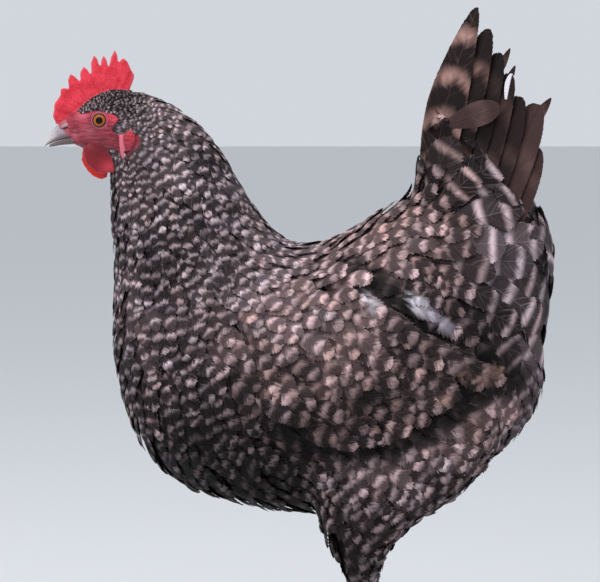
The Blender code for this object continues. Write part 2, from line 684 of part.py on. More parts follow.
# ---------------------------------------------------------------- the hen
def build():
    clear_scene()
    plumage = material("barred_plumage", (0.075, 0.060, 0.055), 0.72)
    plumage_pale = material("barred_plumage_pale", (0.16, 0.135, 0.12), 0.72)
    red = material("red_skin", (0.70, 0.045, 0.05), 0.48)
    horn = material("bill_horn", (0.42, 0.36, 0.36), 0.38)
    leg = material("leg_scales", (0.66, 0.50, 0.44), 0.52)
    nail = material("claw_horn", (0.55, 0.45, 0.38), 0.42)
    amber = material("eye_amber", (0.62, 0.20, 0.03), 0.08)

    head = body_length("head", 0, HEAD_ENDS, 10, 20, plumage_pale, HEAD_SQUARENESS)
    body_length("neck", HEAD_ENDS, NECK_ENDS, 8, 22, plumage_pale, HEAD_SQUARENESS)
    trunk = body_length("trunk", NECK_ENDS, TRUNK_ENDS, 13, BODY_SIDES, plumage)
    coverts = body_length("tail_coverts", TRUNK_ENDS, len(SECTIONS) - 1, 8, 22, plumage)

    eye_left = ball("eye_left", EYE_CENTRE, EYE_RADIUS, amber)
    eye_right = mirrored(eye_left, "eye_right")
    bill_half("bill_upper", UPPER_BILL, horn)
    bill_half("bill_lower", LOWER_BILL, horn)
    crest = comb(red)
    head_cutter = swollen_copy(head, GAP)
    upper = bpy.data.objects["bill_upper"]
    lower = bpy.data.objects["bill_lower"]
    cut_away(upper, [head_cutter])
    cut_away(lower, [head_cutter])
    upper_cutter = swollen_copy(upper, GAP)
    cut_away(crest, [head_cutter, upper_cutter])
    cut_away(head, [swollen_copy(eye_left, GAP), swollen_copy(eye_right, GAP)])

    wattle_left = hanging_flap("wattle_left", WATTLE_LEFT, red, 12, 6)
    wattle_right = hanging_flap("wattle_right", WATTLE_RIGHT, red, 12, 6)
    lobe_left = hanging_flap("earlobe_left", LOBE_LEFT, red, 10, 5)
    head_cutter = swollen_copy(head, GAP)
    lower_cutter = swollen_copy(lower, GAP)
    neck_cutter = swollen_copy(bpy.data.objects["neck"], GAP)
    cut_away(wattle_left, [head_cutter, lower_cutter, neck_cutter])
    cut_away(wattle_right, [head_cutter, lower_cutter, neck_cutter])
    cut_away(lobe_left, [head_cutter, neck_cutter])
    mirrored(lobe_left, "earlobe_right")

    trunk_cutter = swollen_copy(trunk, GAP)
    wing = wing_blank(trunk, plumage)
    cut_away(wing, [trunk_cutter])
    mirrored(wing, "wing_right")
    thigh = thigh_blank(plumage)
    coverts_cutter = swollen_copy(coverts, GAP)
    cut_away(thigh, [trunk_cutter, swollen_copy(wing, GAP), coverts_cutter])
    mirrored(thigh, "thigh_right")

    shank = shank_left(leg)
    cut_away(shank, [swollen_copy(thigh, GAP)])
    shank_cutter = swollen_copy(shank, GAP)
    mirrored(shank, "shank_right")
    for i, spec in enumerate(TOES):
        piece = toe(spec, leg)
        before = TOES[i - 1][1] - (360.0 if i == 0 else 0.0)
        after = TOES[(i + 1) % len(TOES)][1] + (360.0 if i == len(TOES) - 1 else 0.0)
        part_toes(piece, (before + spec[1]) / 2, (spec[1] + after) / 2)
        cut_away(piece, [shank_cutter])
        mirrored(piece, spec[0] + "_right")
        nail_piece = claw(spec, nail)
        cut_away(nail_piece, [swollen_copy(piece, GAP)])
        mirrored(nail_piece, nail_piece.name.replace("_left", "_right"))

    for number in range(len(TAIL_TIPS)):
        blade = tail_feather(number, plumage_pale)
        cut_away(blade, [coverts_cutter])
        mirrored(blade, "tail_feather_%d_right" % (number + 1))

    for obj in list(bpy.data.objects):
        if obj.name.startswith("cutter_"):
            bpy.data.objects.remove(obj, do_unlink=True)

    # the middle of the hen's box stands over the origin, her pads on the floor
    corners = [v.co for obj in bpy.data.objects for v in obj.data.vertices]
    mid_x = (min(c.x for c in corners) + max(c.x for c in corners)) / 2
    mid_y = (min(c.y for c in corners) + max(c.y for c in corners)) / 2
    for obj in bpy.data.objects:
        for v in obj.data.vertices:
            v.co.x -= mid_x
            v.co.y -= mid_y
            if abs(v.co.z) < 0.00002:
                v.co.z = 0.0


build()
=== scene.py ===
"""A still, life-size model of a cuckoo-barred hen: skin, eyes, horn, plumage and a plain studio."""

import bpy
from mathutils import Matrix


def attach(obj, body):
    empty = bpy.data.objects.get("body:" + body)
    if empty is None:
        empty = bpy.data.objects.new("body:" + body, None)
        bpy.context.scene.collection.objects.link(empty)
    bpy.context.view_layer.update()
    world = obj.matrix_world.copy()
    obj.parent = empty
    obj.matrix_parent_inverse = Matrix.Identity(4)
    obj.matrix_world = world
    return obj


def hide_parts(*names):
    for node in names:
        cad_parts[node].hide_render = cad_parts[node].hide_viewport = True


bl_info = {
    "name": "Barred hen",
    "version": (1, 0, 0),
    "blender": (4, 5, 0),
    "location": "3D View > Sidebar > Hen",
    "description": "Builds the skin, eyes, bill, claws, plumage and tail of a standing barred hen",
    "category": "Object",
}

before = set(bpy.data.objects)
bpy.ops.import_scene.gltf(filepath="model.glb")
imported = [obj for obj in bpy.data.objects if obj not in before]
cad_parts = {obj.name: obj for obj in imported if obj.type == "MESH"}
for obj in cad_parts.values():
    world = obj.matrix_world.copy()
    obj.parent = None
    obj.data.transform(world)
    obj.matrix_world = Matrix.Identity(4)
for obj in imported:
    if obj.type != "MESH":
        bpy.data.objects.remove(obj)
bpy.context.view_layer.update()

import itertools
import math

import bmesh
import bpy
import numpy as np
from bpy.props import FloatProperty, FloatVectorProperty, IntProperty, PointerProperty
from mathutils import Vector, noise
from mathutils.bvhtree import BVHTree

BODY = "root"
SIDES = (("left", 1.0), ("right", -1.0))
FRAME_SHIFT = 0.00113  # the packed model sits this far to the rear of the tables below

# nodes that the one skin stands for
FLESH = ("head", "neck", "trunk", "tail_coverts", "wing_left", "wing_right", "thigh_left",
         "thigh_right")
RED_PARTS = ("comb", "wattle_left", "wattle_right", "earlobe_left", "earlobe_right")
LEGS = tuple("%s_%s" % (part, side) for side, _ in SIDES
             for part in ("shank", "toe_inner", "toe_middle", "toe_outer", "toe_back"))
CLAWS = ("claw_inner", "claw_middle", "claw_outer", "claw_back")

# the bare red face of the left side, (y, z) round its edge
FACE_EDGE = (
    (-0.1830, 0.4290), (-0.1757, 0.4345), (-0.1722, 0.4372), (-0.1669, 0.4380),
    (-0.1620, 0.4388), (-0.1579, 0.4407), (-0.1537, 0.4410), (-0.1481, 0.4400),
    (-0.1436, 0.4386), (-0.1392, 0.4368), (-0.1375, 0.4347), (-0.1407, 0.4301),
    (-0.1427, 0.4268), (-0.1421, 0.4248), (-0.1391, 0.4236), (-0.1362, 0.4226),
    (-0.1325, 0.4247), (-0.1299, 0.4268), (-0.1253, 0.4270), (-0.1242, 0.4230),
    (-0.1239, 0.4181), (-0.1248, 0.4144), (-0.1273, 0.4117), (-0.1302, 0.4096),
    (-0.1334, 0.4044), (-0.1362, 0.4050), (-0.1380, 0.4098), (-0.1401, 0.4120),
    (-0.1446, 0.4118), (-0.1523, 0.4108), (-0.1592, 0.4095), (-0.1683, 0.4095),
    (-0.1830, 0.4095),
)
EYE_CENTRE = (0.0118, -0.1519 + FRAME_SHIFT, 0.4332)
COMB_CENTRE = (-0.1490 + FRAME_SHIFT, 0.4330)

# how the plumage lies on the side of the hen, for each kind of feather: place and heading, (y, z)
LIE = {
    "crown": ((-0.152, 0.452, 1.00, 0.05), (-0.161, 0.445, 0.94, 0.33),
        (-0.138, 0.447, 0.98, -0.20), (-0.128, 0.436, 0.93, -0.36)),
    "ear": ((-0.1395, 0.4290, 0.93, -0.36), (-0.1345, 0.4290, 0.93, -0.36),
        (-0.1300, 0.4310, 0.88, -0.47), (-0.1380, 0.4255, 0.96, -0.28)),
    "nape": ((-0.120, 0.450, 0.96, -0.29), (-0.122, 0.433, 0.84, -0.54),
        (-0.127, 0.399, 0.24, -0.97)),
    "hackle": ((-0.095, 0.441, 0.84, -0.54), (-0.108, 0.414, 0.48, -0.88),
        (-0.135, 0.389, 0.05, -1.00), (-0.106, 0.384, 0.37, -0.93), (-0.072, 0.416, 0.62, -0.78),
        (-0.042, 0.363, 0.71, -0.71), (-0.084, 0.346, 0.37, -0.93), (-0.138, 0.342, 0.00, -1.00),
        (-0.057, 0.334, 0.57, -0.82), (-0.029, 0.338, 0.78, -0.62)),
    "breast": ((-0.135, 0.296, 0.10, -1.00), (-0.135, 0.251, 0.29, -0.96),
        (-0.099, 0.296, 0.37, -0.93), (-0.095, 0.243, 0.51, -0.86), (-0.114, 0.194, 0.75, -0.66),
        (-0.065, 0.190, 0.88, -0.48)),
    "belly": ((-0.076, 0.156, 0.96, -0.29), (0.000, 0.141, 1.00, -0.05),
        (-0.038, 0.167, 0.96, -0.29), (0.060, 0.140, 1.00, 0.05), (0.110, 0.160, 0.90, 0.20)),
    "shoulder": ((-0.053, 0.296, 0.60, -0.80), (-0.019, 0.321, 0.82, -0.57)),
    "back": ((0.000, 0.331, 0.94, -0.33), (0.030, 0.334, 0.97, -0.24)),
    "saddle": ((0.065, 0.348, 0.94, -0.33), (0.080, 0.323, 0.86, -0.51),
        (0.091, 0.361, 1.00, -0.05)),
    "wing": ((-0.038, 0.270, 0.75, -0.66), (0.000, 0.281, 0.84, -0.54),
        (0.038, 0.274, 0.86, -0.51), (0.000, 0.239, 0.89, -0.45), (0.046, 0.232, 0.93, -0.37),
        (-0.008, 0.207, 0.96, -0.29), (0.076, 0.266, 0.80, -0.60)),
    "flight": ((0.099, 0.247, 0.89, -0.45), (0.125, 0.242, 0.96, -0.29),
        (0.091, 0.224, 0.99, -0.15)),
    "cushion": ((0.106, 0.300, 0.71, -0.71), (0.129, 0.270, 0.60, -0.80),
        (0.148, 0.243, 0.37, -0.93)),
    "coverts": ((0.110, 0.338, 0.98, -0.08), (0.100, 0.378, 0.49, 0.87),
        (0.103, 0.410, 0.15, 0.99), (0.123, 0.391, 0.29, 0.96), (0.148, 0.372, 0.68, 0.73),
        (0.160, 0.334, 1.00, 0.10), (0.122, 0.356, 0.96, 0.26), (0.128, 0.318, 0.97, -0.22),
        (0.175, 0.296, 0.87, -0.49), (0.182, 0.346, 0.95, 0.32), (0.152, 0.300, 0.89, -0.35),
        (0.140, 0.350, 0.98, 0.20), (0.168, 0.318, 0.98, -0.15)),
    "fluff": ((0.179, 0.262, 0.29, -0.96), (0.175, 0.224, 0.10, -1.00),
        (0.152, 0.198, 0.55, -0.83)),
    "thigh": ((0.023, 0.179, 0.80, -0.60), (0.076, 0.182, 0.80, -0.60),
        (0.122, 0.198, 0.78, -0.63), (0.053, 0.144, 0.60, -0.80), (0.106, 0.160, 0.66, -0.75),
        (0.038, 0.099, 0.15, -0.99), (0.065, 0.122, 0.29, -0.96)),
}

# each kind of feather, in millimetres: step along, step across, length, width, depth of coat,
# droop of the edges; then fray 0-1, point 0-1, bars on its length, warmth, paleness
KINDS = {
    "crown": (2.1, 1.7, 7.0, 3.2, 0.8, 0.14, 0.55, 0.45, 2.1, 0.15, 0.60),
    "ear": (1.7, 1.4, 8.5, 2.0, 0.8, 0.10, 0.95, 0.60, 1.0, 0.10, 0.38),
    "nape": (4.6, 3.6, 15.0, 6.2, 1.8, 0.35, 0.55, 0.45, 2.7, 0.15, 0.85),
    "hackle": (8.6, 6.4, 36.0, 12.0, 3.2, 0.90, 0.50, 0.40, 3.5, 0.15, 0.95),
    "breast": (8.9, 8.4, 33.0, 15.5, 6.0, 1.50, 0.45, 0.05, 2.9, 0.25, 0.85),
    "belly": (10.0, 10.0, 36.0, 17.0, 7.5, 1.50, 0.75, 0.00, 3.0, 0.30, 0.55),
    "shoulder": (8.8, 8.4, 33.0, 14.5, 6.0, 1.60, 0.42, 0.05, 2.9, 0.60, 0.85),
    "back": (9.6, 9.4, 35.0, 16.5, 6.0, 1.60, 0.42, 0.10, 2.9, 0.75, 0.82),
    "saddle": (10.6, 9.6, 42.0, 16.5, 6.0, 1.50, 0.48, 0.20, 3.3, 0.80, 0.80),
    "wing": (11.0, 10.4, 38.0, 18.0, 5.5, 2.00, 0.35, 0.00, 2.8, 0.85, 0.80),
    "flight": (15.0, 11.5, 62.0, 20.0, 5.5, 1.60, 0.30, 0.10, 3.8, 0.95, 0.85),
    "cushion": (12.2, 11.6, 44.0, 20.0, 6.5, 2.10, 0.42, 0.05, 3.1, 0.55, 0.85),
    "coverts": (20.0, 19.0, 50.0, 31.0, 6.0, 2.60, 0.25, 0.00, 2.5, 0.20, 1.10),
    "fluff": (9.0, 8.6, 42.0, 15.0, 8.5, 1.00, 1.00, 0.00, 2.8, 0.30, 0.42),
    "thigh": (9.2, 8.8, 34.0, 15.0, 7.5, 1.30, 0.75, 0.00, 2.9, 0.35, 0.80),
}
ORDER = tuple(KINDS)
(STEP_ALONG, STEP_ACROSS, LONG, WIDE, DEPTH, DROOP, FRAY, POINT, BARS, WARMTH,
 PALENESS) = range(11)
SIZE_COLUMNS = 6  # the first columns of the table are sizes
KIND_BLEND = 0.010  # kinds give way to each other over about this distance
TONE_BLEND = 0.008  # and so do the tones below
TONE_DRIFT = (38.0, 0.45)  # fineness and strength of the patches in them

# pieces of the coat, and the kinds of feather in each
COATS = (
    ("crown", ("crown", "ear")), ("hackle", ("nape", "hackle")), ("breast", ("breast", "belly")),
    ("back", ("shoulder", "back", "saddle")), ("wing", ("wing", "flight")),
    ("rump", ("cushion", "fluff")), ("coverts", ("coverts",)), ("thigh", ("thigh",)),
)

# steps of the vane's edge on each side, for each piece
LOBES = {"crown": 5, "hackle": 11, "breast": 16, "back": 16, "wing": 18, "rump": 18,
         "coverts": 30, "thigh": 18}
SWELL = 0.13  # how far the open part of a feather bulges, against its step
SWELL_MOST = 0.0015

# how bright the plumage is from place to place, real tone with painted shade that darkens the belly
# and the underside: (y, z, brightness)
TONES_AND_SHADE = (
    (-0.106, 0.4460, 1.90), (-0.137, 0.4490, 0.75), (-0.137, 0.4300, 1.70),
    (-0.128, 0.440, 0.75), (-0.106, 0.385, 1.45), (-0.132, 0.350, 1.00), (-0.070, 0.370, 0.95),
    (-0.094, 0.329, 0.75), (-0.055, 0.330, 1.15), (-0.110, 0.290, 1.25), (-0.130, 0.230, 0.80),
    (-0.095, 0.250, 0.95), (-0.078, 0.180, 0.12), (-0.020, 0.160, 0.11), (-0.045, 0.215, 0.42),
    (-0.055, 0.265, 1.35), (-0.020, 0.300, 2.30), (0.010, 0.275, 1.90), (0.040, 0.285, 1.70),
    (0.005, 0.245, 1.20), (0.050, 0.255, 1.45), (0.085, 0.245, 1.00), (0.010, 0.208, 0.22),
    (0.060, 0.222, 0.26), (0.030, 0.335, 1.90), (0.063, 0.333, 2.10), (0.085, 0.345, 1.60),
    (0.100, 0.310, 1.05), (0.125, 0.300, 0.90), (0.112, 0.275, 0.32), (0.140, 0.260, 0.20),
    (0.150, 0.335, 1.45), (0.120, 0.370, 0.80), (0.105, 0.400, 0.50), (0.175, 0.300, 1.20),
    (0.165, 0.225, 2.00), (0.060, 0.175, 1.80), (0.110, 0.190, 1.50), (0.050, 0.140, 0.80),
    (0.050, 0.110, 0.45), (0.120, 0.150, 0.60),
)

# small marks on the left side: place (y, z), half length, half width, slope, colour
MARKS = (
    (0.0880, 0.2985, 0.0092, 0.0048, -0.85, "down"),
    (0.1000, 0.2893, 0.0080, 0.0042, -0.75, "lilac"),
    (0.1090, 0.2830, 0.0062, 0.0032, -0.75, "lilac"),
    (0.0510, 0.3030, 0.0088, 0.0028, -2.00, "down"),
    (0.1210, 0.2475, 0.0050, 0.0042, 0.30, "rust"),
    (0.1470, 0.2475, 0.0066, 0.0046, 0.10, "rust"),
    (0.1060, 0.2290, 0.0050, 0.0036, -0.20, "rust"),
    (0.1350, 0.2420, 0.0040, 0.0030, -0.20, "rust"),
)
MARK_ON_DARK = {"down": 0.8, "lilac": 0.7, "rust": 0.4}  # how far they cover dark bars

# the free edge of the folded wing, (y, z), from the back round the tips to the front
WING_EDGE = (
    (0.0400, 0.3225), (0.0500, 0.3170), (0.0640, 0.3105), (0.0760, 0.3015), (0.0830, 0.2900),
    (0.0930, 0.2740), (0.1030, 0.2610), (0.1207, 0.2515), (0.1474, 0.2490), (0.1560, 0.2410),
    (0.1348, 0.2375), (0.1145, 0.2241), (0.0941, 0.2124), (0.0674, 0.1998), (0.0408, 0.1936),
    (0.0133, 0.2000), (-0.0078, 0.2120),
)
WING_FRONT = ((-0.0400, 0.2300), (-0.0450, 0.2900), (-0.0100, 0.3300))
FEATHERS_TOP = 0.4290  # no feather but the tail's own reaches higher, save on the head
COVERT_WARMTH = 0.75  # how much browner the foremost coverts of the tail are
WING_STEP = (0.0050, 0.0040)  # rise of the wing's edge, fall of the plumage beside it
WING_FLOOR = 0.18  # nothing below this height belongs to the wing
CREASE_SHADE = 0.06  # painted shade: brightness in the crease round the wing

OUTLINE_GROWTH = 0.0006  # how far the outline surface lies outside the solids
OUTLINE_VOXEL = 0.0024
TRIES = 9  # roots tried for each one that has room
CLOSEST = 0.86  # share of a full step that two roots keep
SMALL_STEP = 0.0055  # feathers with shorter steps are sorted into small boxes
SMALL_BOX, LARGE_BOX = 0.0045, 0.0080
PATH_STEPS = 7
OFF_SURFACE = 0.020  # a path this far off the surface no longer follows it
WARMTH_SPREAD, PALE_SPREAD, DARK_SPREAD = 0.16, 0.34, 0.15  # from feather to feather
PALEST = 1.5  # the brightest that a pale bar may be, against its colour
SPREAD = 0.12  # how much shafts head away from the hen's middle
UNRULY = 0.15  # how much they turn from the rule, in radians
STIFF_LENGTH = 0.05  # feathers longer than this follow the body less
SHARP = math.radians(75)  # edges of vanes that bend more than this stay sharp

# what shapes a vane, besides its number of lobes; what a piece doesn't give is 0
VANE_SIZES = ("long", "wide", "fray", "point", "depth", "lift", "swell", "droop", "roll", "rise",
              "bend", "thick")
WIDEST_AT = 0.55  # how far round its outline a vane is widest
SHAFT_END = 0.965  # where on its length the shaft ends
MIDDLE = (0.42, 0.52, 0.36)  # middle row of a side: share along the barb, across, thickness
BARB_SLANT = 1.2  # how far barbs lean forward, against the vane's half width
BAR_BLUR = 0.34  # share of a bar over which it fades in, and out
PATCH = (0.008, 0.018)  # a feather's patch on the bake map, across and along
TAIL_PATCH = (0.080, 0.700)
SCALE_PATCH = (0.003, 0.003)
BAKE_EDGE, BAKE_SPAN = 0.03, 0.92  # border of the bake map, and what lies between
# the middle line of the body from bill to tail, (y, z), that the skin is unwrapped round
SPINE = ((-0.175, 0.428), (-0.125, 0.425), (-0.085, 0.385), (-0.065, 0.320), (-0.030, 0.255),
         (0.040, 0.245), (0.110, 0.270), (0.140, 0.350), (0.150, 0.420))

workshop = {}  # surfaces and the plan of the coat, shared by the operators


# ---------------- surfaces
def link(obj):
    """Puts an object in the scene."""
    bpy.context.scene.collection.objects.link(obj)


def node_copy(names, growth):
    """The named solids as one welded mesh, each swollen a little along its normals."""
    bm = bmesh.new()
    for name in names:
        part = bmesh.new()
        part.from_mesh(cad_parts[name].data)
        bmesh.ops.remove_doubles(part, verts=part.verts, dist=1e-6)
        part.normal_update()
        for v in part.verts:
            v.co += v.normal * growth
        mesh = bpy.data.meshes.new("copy")
        part.to_mesh(mesh)
        part.free()
        bm.from_mesh(mesh)
        bpy.data.meshes.remove(mesh)
    return bm


def modified(mesh, *steps):
    """The mesh after the given modifiers, each a type and its settings."""
    obj = bpy.data.objects.new("jig", mesh)
    link(obj)
    for kind, settings in steps:
        modifier = obj.modifiers.new(kind.lower(), kind)
        for key, value in settings.items():
            setattr(modifier, key, value)
    graph = bpy.context.evaluated_depsgraph_get()
    result = bpy.data.meshes.new_from_object(obj.evaluated_get(graph))
    bpy.data.objects.remove(obj)
    bpy.data.meshes.remove(mesh)
    return result


def remeshed(bm, voxel):
    """One closed skin of even quads round everything in the bmesh."""
    mesh = bpy.data.meshes.new("lump")
    bm.to_mesh(mesh)
    bm.free()
    return modified(mesh, ("REMESH", {"mode": "VOXEL", "voxel_size": voxel}))


def arrays(mesh):
    """Points, edges and triangles of a mesh."""
    points = np.empty(len(mesh.vertices) * 3, np.float32)
    mesh.vertices.foreach_get("co", points)
    edges = np.empty(len(mesh.edges) * 2, np.int32)
    mesh.edges.foreach_get("vertices", edges)
    mesh.calc_loop_triangles()
    triangles = np.empty(len(mesh.loop_triangles) * 3, np.int32)
    mesh.loop_triangles.foreach_get("vertices", triangles)
    return points.reshape(-1, 3).astype(float), edges.reshape(-1, 2), triangles.reshape(-1, 3)


def relaxed(points, edges, rounds, hold=1.0):
    """Smooths a mesh; hold is 0 where a point must stay."""
    count = np.bincount(edges.ravel(), minlength=len(points)).clip(1)[:, None]
    for _ in range(rounds):
        total = np.stack([
            np.bincount(edges[:, 0], points[edges[:, 1], k], len(points))
            + np.bincount(edges[:, 1], points[edges[:, 0], k], len(points))
            for k in range(3)], axis=1)
        points = points + (total / count - points) * 0.5 * hold
    return points


def normals_of(points, triangles):
    """Smooth unit normals of the points."""
    a, b, c = (points[triangles[:, k]] for k in range(3))
    flat = np.cross(b - a, c - a)
    total = np.stack([sum(np.bincount(triangles[:, j], flat[:, k], len(points))
                          for j in range(3)) for k in range(3)], axis=1)
    return total / np.linalg.norm(total, axis=1, keepdims=True).clip(1e-12)


def unit(vectors):
    """The vectors, each made one long."""
    return vectors / np.linalg.norm(vectors, axis=-1, keepdims=True).clip(1e-12)


def smoothstep(low, high, value):
    """0 at low and 1 at high, with a soft rise between."""
    t = np.clip((value - low) / (high - low), 0.0, 1.0)
    return t * t * (3 - 2 * t)


def inside(outline, y, z):
    """True where the points (y, z) lie within a closed outline."""
    hit = np.zeros(len(y), bool)
    last = outline[-1]
    for here in outline:
        crosses = (here[1] > z) != (last[1] > z)
        rise = (last[1] - here[1]) or 1e-12
        hit ^= crosses & (y < (last[0] - here[0]) * (z - here[1]) / rise + here[0])
        last = here
    return hit


def kind_weights(points):
    """How much of each kind of feather there is at each point, and how its shafts head."""
    rows = np.array([row for kind in ORDER for row in LIE[kind]])
    kinds = np.repeat(range(len(ORDER)), [len(LIE[kind]) for kind in ORDER])
    apart = ((points[:, None, 1:3] - rows[None, :, :2]) ** 2).sum(axis=2)
    weight = 1.0 / (apart + KIND_BLEND ** 2) ** 2
    weight /= weight.sum(axis=1, keepdims=True)
    shares = np.stack([weight[:, kinds == k].sum(axis=1) for k in range(len(ORDER))], axis=1)
    return shares, weight @ rows[:, 2:]


def kind_values(shares):
    """The table of kinds, blended by their shares, with lengths in metres."""
    table = np.array([KINDS[name] for name in ORDER], float)
    table[:, :SIZE_COLUMNS] *= 0.001
    return shares @ table


def outline_surface():
    """The closed surface that the feathers' tips reach, with its normals and search tree."""
    if "outline" not in workshop:
        mesh = remeshed(node_copy(FLESH, OUTLINE_GROWTH), OUTLINE_VOXEL)
        points, edges, triangles = arrays(mesh)
        bpy.data.meshes.remove(mesh)
        head = smoothstep(-0.100, -0.125, points[:, 1]) * smoothstep(0.370, 0.400, points[:, 2])
        points = relaxed(points, edges, 5)
        points = relaxed(points, edges, 9, (1 - head)[:, None])
        normals = normals_of(points, triangles)
        tree = BVHTree.FromPolygons(points.tolist(), triangles.tolist())
        workshop["outline"] = (points, edges, triangles, normals, tree)
    return workshop["outline"]


# ---------------- feathers
def areas(points, triangles):
    """The area of each triangle."""
    a, b, c = (points[triangles[:, k]] for k in range(3))
    return np.linalg.norm(np.cross(b - a, c - a), axis=1) / 2


def strewn(points, triangles, crowd, total, random):
    """Points strewn over a surface, as thickly as crowd says, and the triangles they lie in."""
    chosen = random.choice(len(triangles), total, p=crowd / crowd.sum())
    a, b, c = (points[triangles[chosen, k]] for k in range(3))
    share = random.random((total, 2))
    flip = share.sum(axis=1) > 1
    share[flip] = 1 - share[flip]
    return a + (b - a) * share[:, :1] + (c - a) * share[:, 1:], chosen


def scattered(points, triangles, bare, random):
    """Roots spread over the outline surface, as near to each other as their kinds allow."""
    values = kind_values(kind_weights(points[triangles].mean(axis=1))[0])
    crowd = areas(points, triangles) / (values[:, STEP_ALONG] * values[:, STEP_ACROSS])
    crowd[bare[triangles].min(axis=1) > 0.5] = 0.0
    return strewn(points, triangles, crowd, int(crowd.sum() * TRIES), random)


def thinned(roots, forward, sideways, normals, values):
    """Keeps the roots that stand a full step from every one kept before."""
    kept = np.zeros(len(roots), bool)
    fine = values[:, STEP_ALONG] < SMALL_STEP
    for group, cell in ((fine, SMALL_BOX), (~fine, LARGE_BOX)):
        boxes = {}
        for i in np.nonzero(group)[0]:
            place = roots[i]
            long_step = values[i, STEP_ALONG]
            wide_step = values[i, STEP_ACROSS]
            reach = int(math.ceil(max(long_step, wide_step) / cell))
            home = tuple(int(math.floor(q / cell)) for q in place)
            around = (range(q - reach, q + reach + 1) for q in home)
            near = [j for box in itertools.product(*around) for j in boxes.get(box, ())]
            if near:
                apart = roots[near] - place
                length = ((apart @ forward[i] / long_step) ** 2
                          + (apart @ sideways[i] / wide_step) ** 2
                          + (apart @ normals[i] / wide_step) ** 2)
                if length.min() < CLOSEST ** 2:
                    continue
            kept[i] = True
            boxes.setdefault(home, []).append(i)
    return np.nonzero(kept)[0]


def surface_paths(tree, normals, triangles, roots, headings, lengths, stiffness):
    """Lines that start at the roots and run over the surface: places, normals, directions."""
    places = np.empty((len(roots), PATH_STEPS + 1, 3))
    ups = np.empty_like(places)
    for i in range(len(roots)):
        at = Vector(roots[i])
        way = Vector(headings[i])
        for k in range(PATH_STEPS + 1):
            spot, _, face, away = tree.find_nearest(at)
            base = spot if k == 0 or away < OFF_SURFACE else at
            up = Vector(normals[triangles[face]].sum(axis=0)).normalized()
            stay = stiffness[i] if k else 0.0
            here = base.lerp(at, stay)
            places[i, k] = here
            ups[i, k] = up
            way = (way - up * way.dot(up) * (1 - stay)).normalized()
            at = here + way * (lengths[i] / PATH_STEPS)
    ways = np.empty_like(places)
    ways[:, 1:-1] = places[:, 2:] - places[:, :-2]
    ways[:, 0] = places[:, 1] - places[:, 0]
    ways[:, -1] = places[:, -1] - places[:, -2]
    ways = unit(ways)
    ups = unit(ups - ways * (ups * ways).sum(axis=2, keepdims=True))
    return places, ups, ways


def vane_pattern(lobes):
    """Faces of one closed vane, and how many points it has.

    The points are numbered so: the shaft; on each side the middle, the notches and the tips of
    its lobes; the vane's end; and the under side of the shaft.
    """
    shaft = list(range(lobes + 1))
    start = lobes + 1
    end = start + 6 * lobes
    under = [end + 1 + k for k in range(lobes)]
    faces = []
    for side in range(2):
        middle, notch, tips = (
            [start + (3 * side + row) * lobes + k for k in range(lobes)] for row in range(3))
        middle.append(shaft[lobes])
        notch.append(end)
        below = under + [end]
        for k in range(lobes):
            top = [(shaft[k], shaft[k + 1], middle[k + 1]), (shaft[k], middle[k + 1], middle[k]),
                   (middle[k], tips[k], notch[k]), (middle[k], middle[k + 1], tips[k]),
                   (middle[k + 1], notch[k + 1], tips[k])]
            low = [(below[k], notch[k], tips[k]), (below[k], tips[k], below[k + 1]),
                   (below[k + 1], tips[k], notch[k + 1])]
            if k == lobes - 1:
                top = [(shaft[k], shaft[k + 1], middle[k]), (middle[k], tips[k], notch[k]),
                       (middle[k], shaft[k + 1], tips[k]), (shaft[k + 1], end, tips[k])]
                low = [(below[k], notch[k], tips[k]), (below[k], tips[k], end)]
            if k == 0:
                low += [(under[0], middle[0], notch[0]), (under[0], shaft[0], middle[0])]
            faces += [face if side == 0 else face[::-1] for face in top + low]
    return np.array(faces), end + 1 + lobes


def vane_faces(lobes, count):
    """The faces of a number of vanes in one mesh, and the vane that each point belongs to."""
    pattern, size = vane_pattern(lobes)
    faces = pattern[None] + (np.arange(count) * size)[:, None, None]
    return faces.reshape(-1, 3), np.repeat(np.arange(count), size)


def vane_edge(q, point):
    """The outline at q, 0 where the vane begins and 1 at its end: share of length, of width."""
    turn = np.clip((q - WIDEST_AT) / (1 - WIDEST_AT), 0, 1) * np.pi / 2
    along = np.where(q < WIDEST_AT, 0.58 * q / WIDEST_AT, 0.58 + 0.42 * np.sin(turn))
    wide = np.where(q < WIDEST_AT, 0.42 + 0.58 * np.sin(np.pi / 2 * q / WIDEST_AT),
                    np.cos(turn) * (1 - 0.42 * point * np.sin(turn)))
    return along, wide


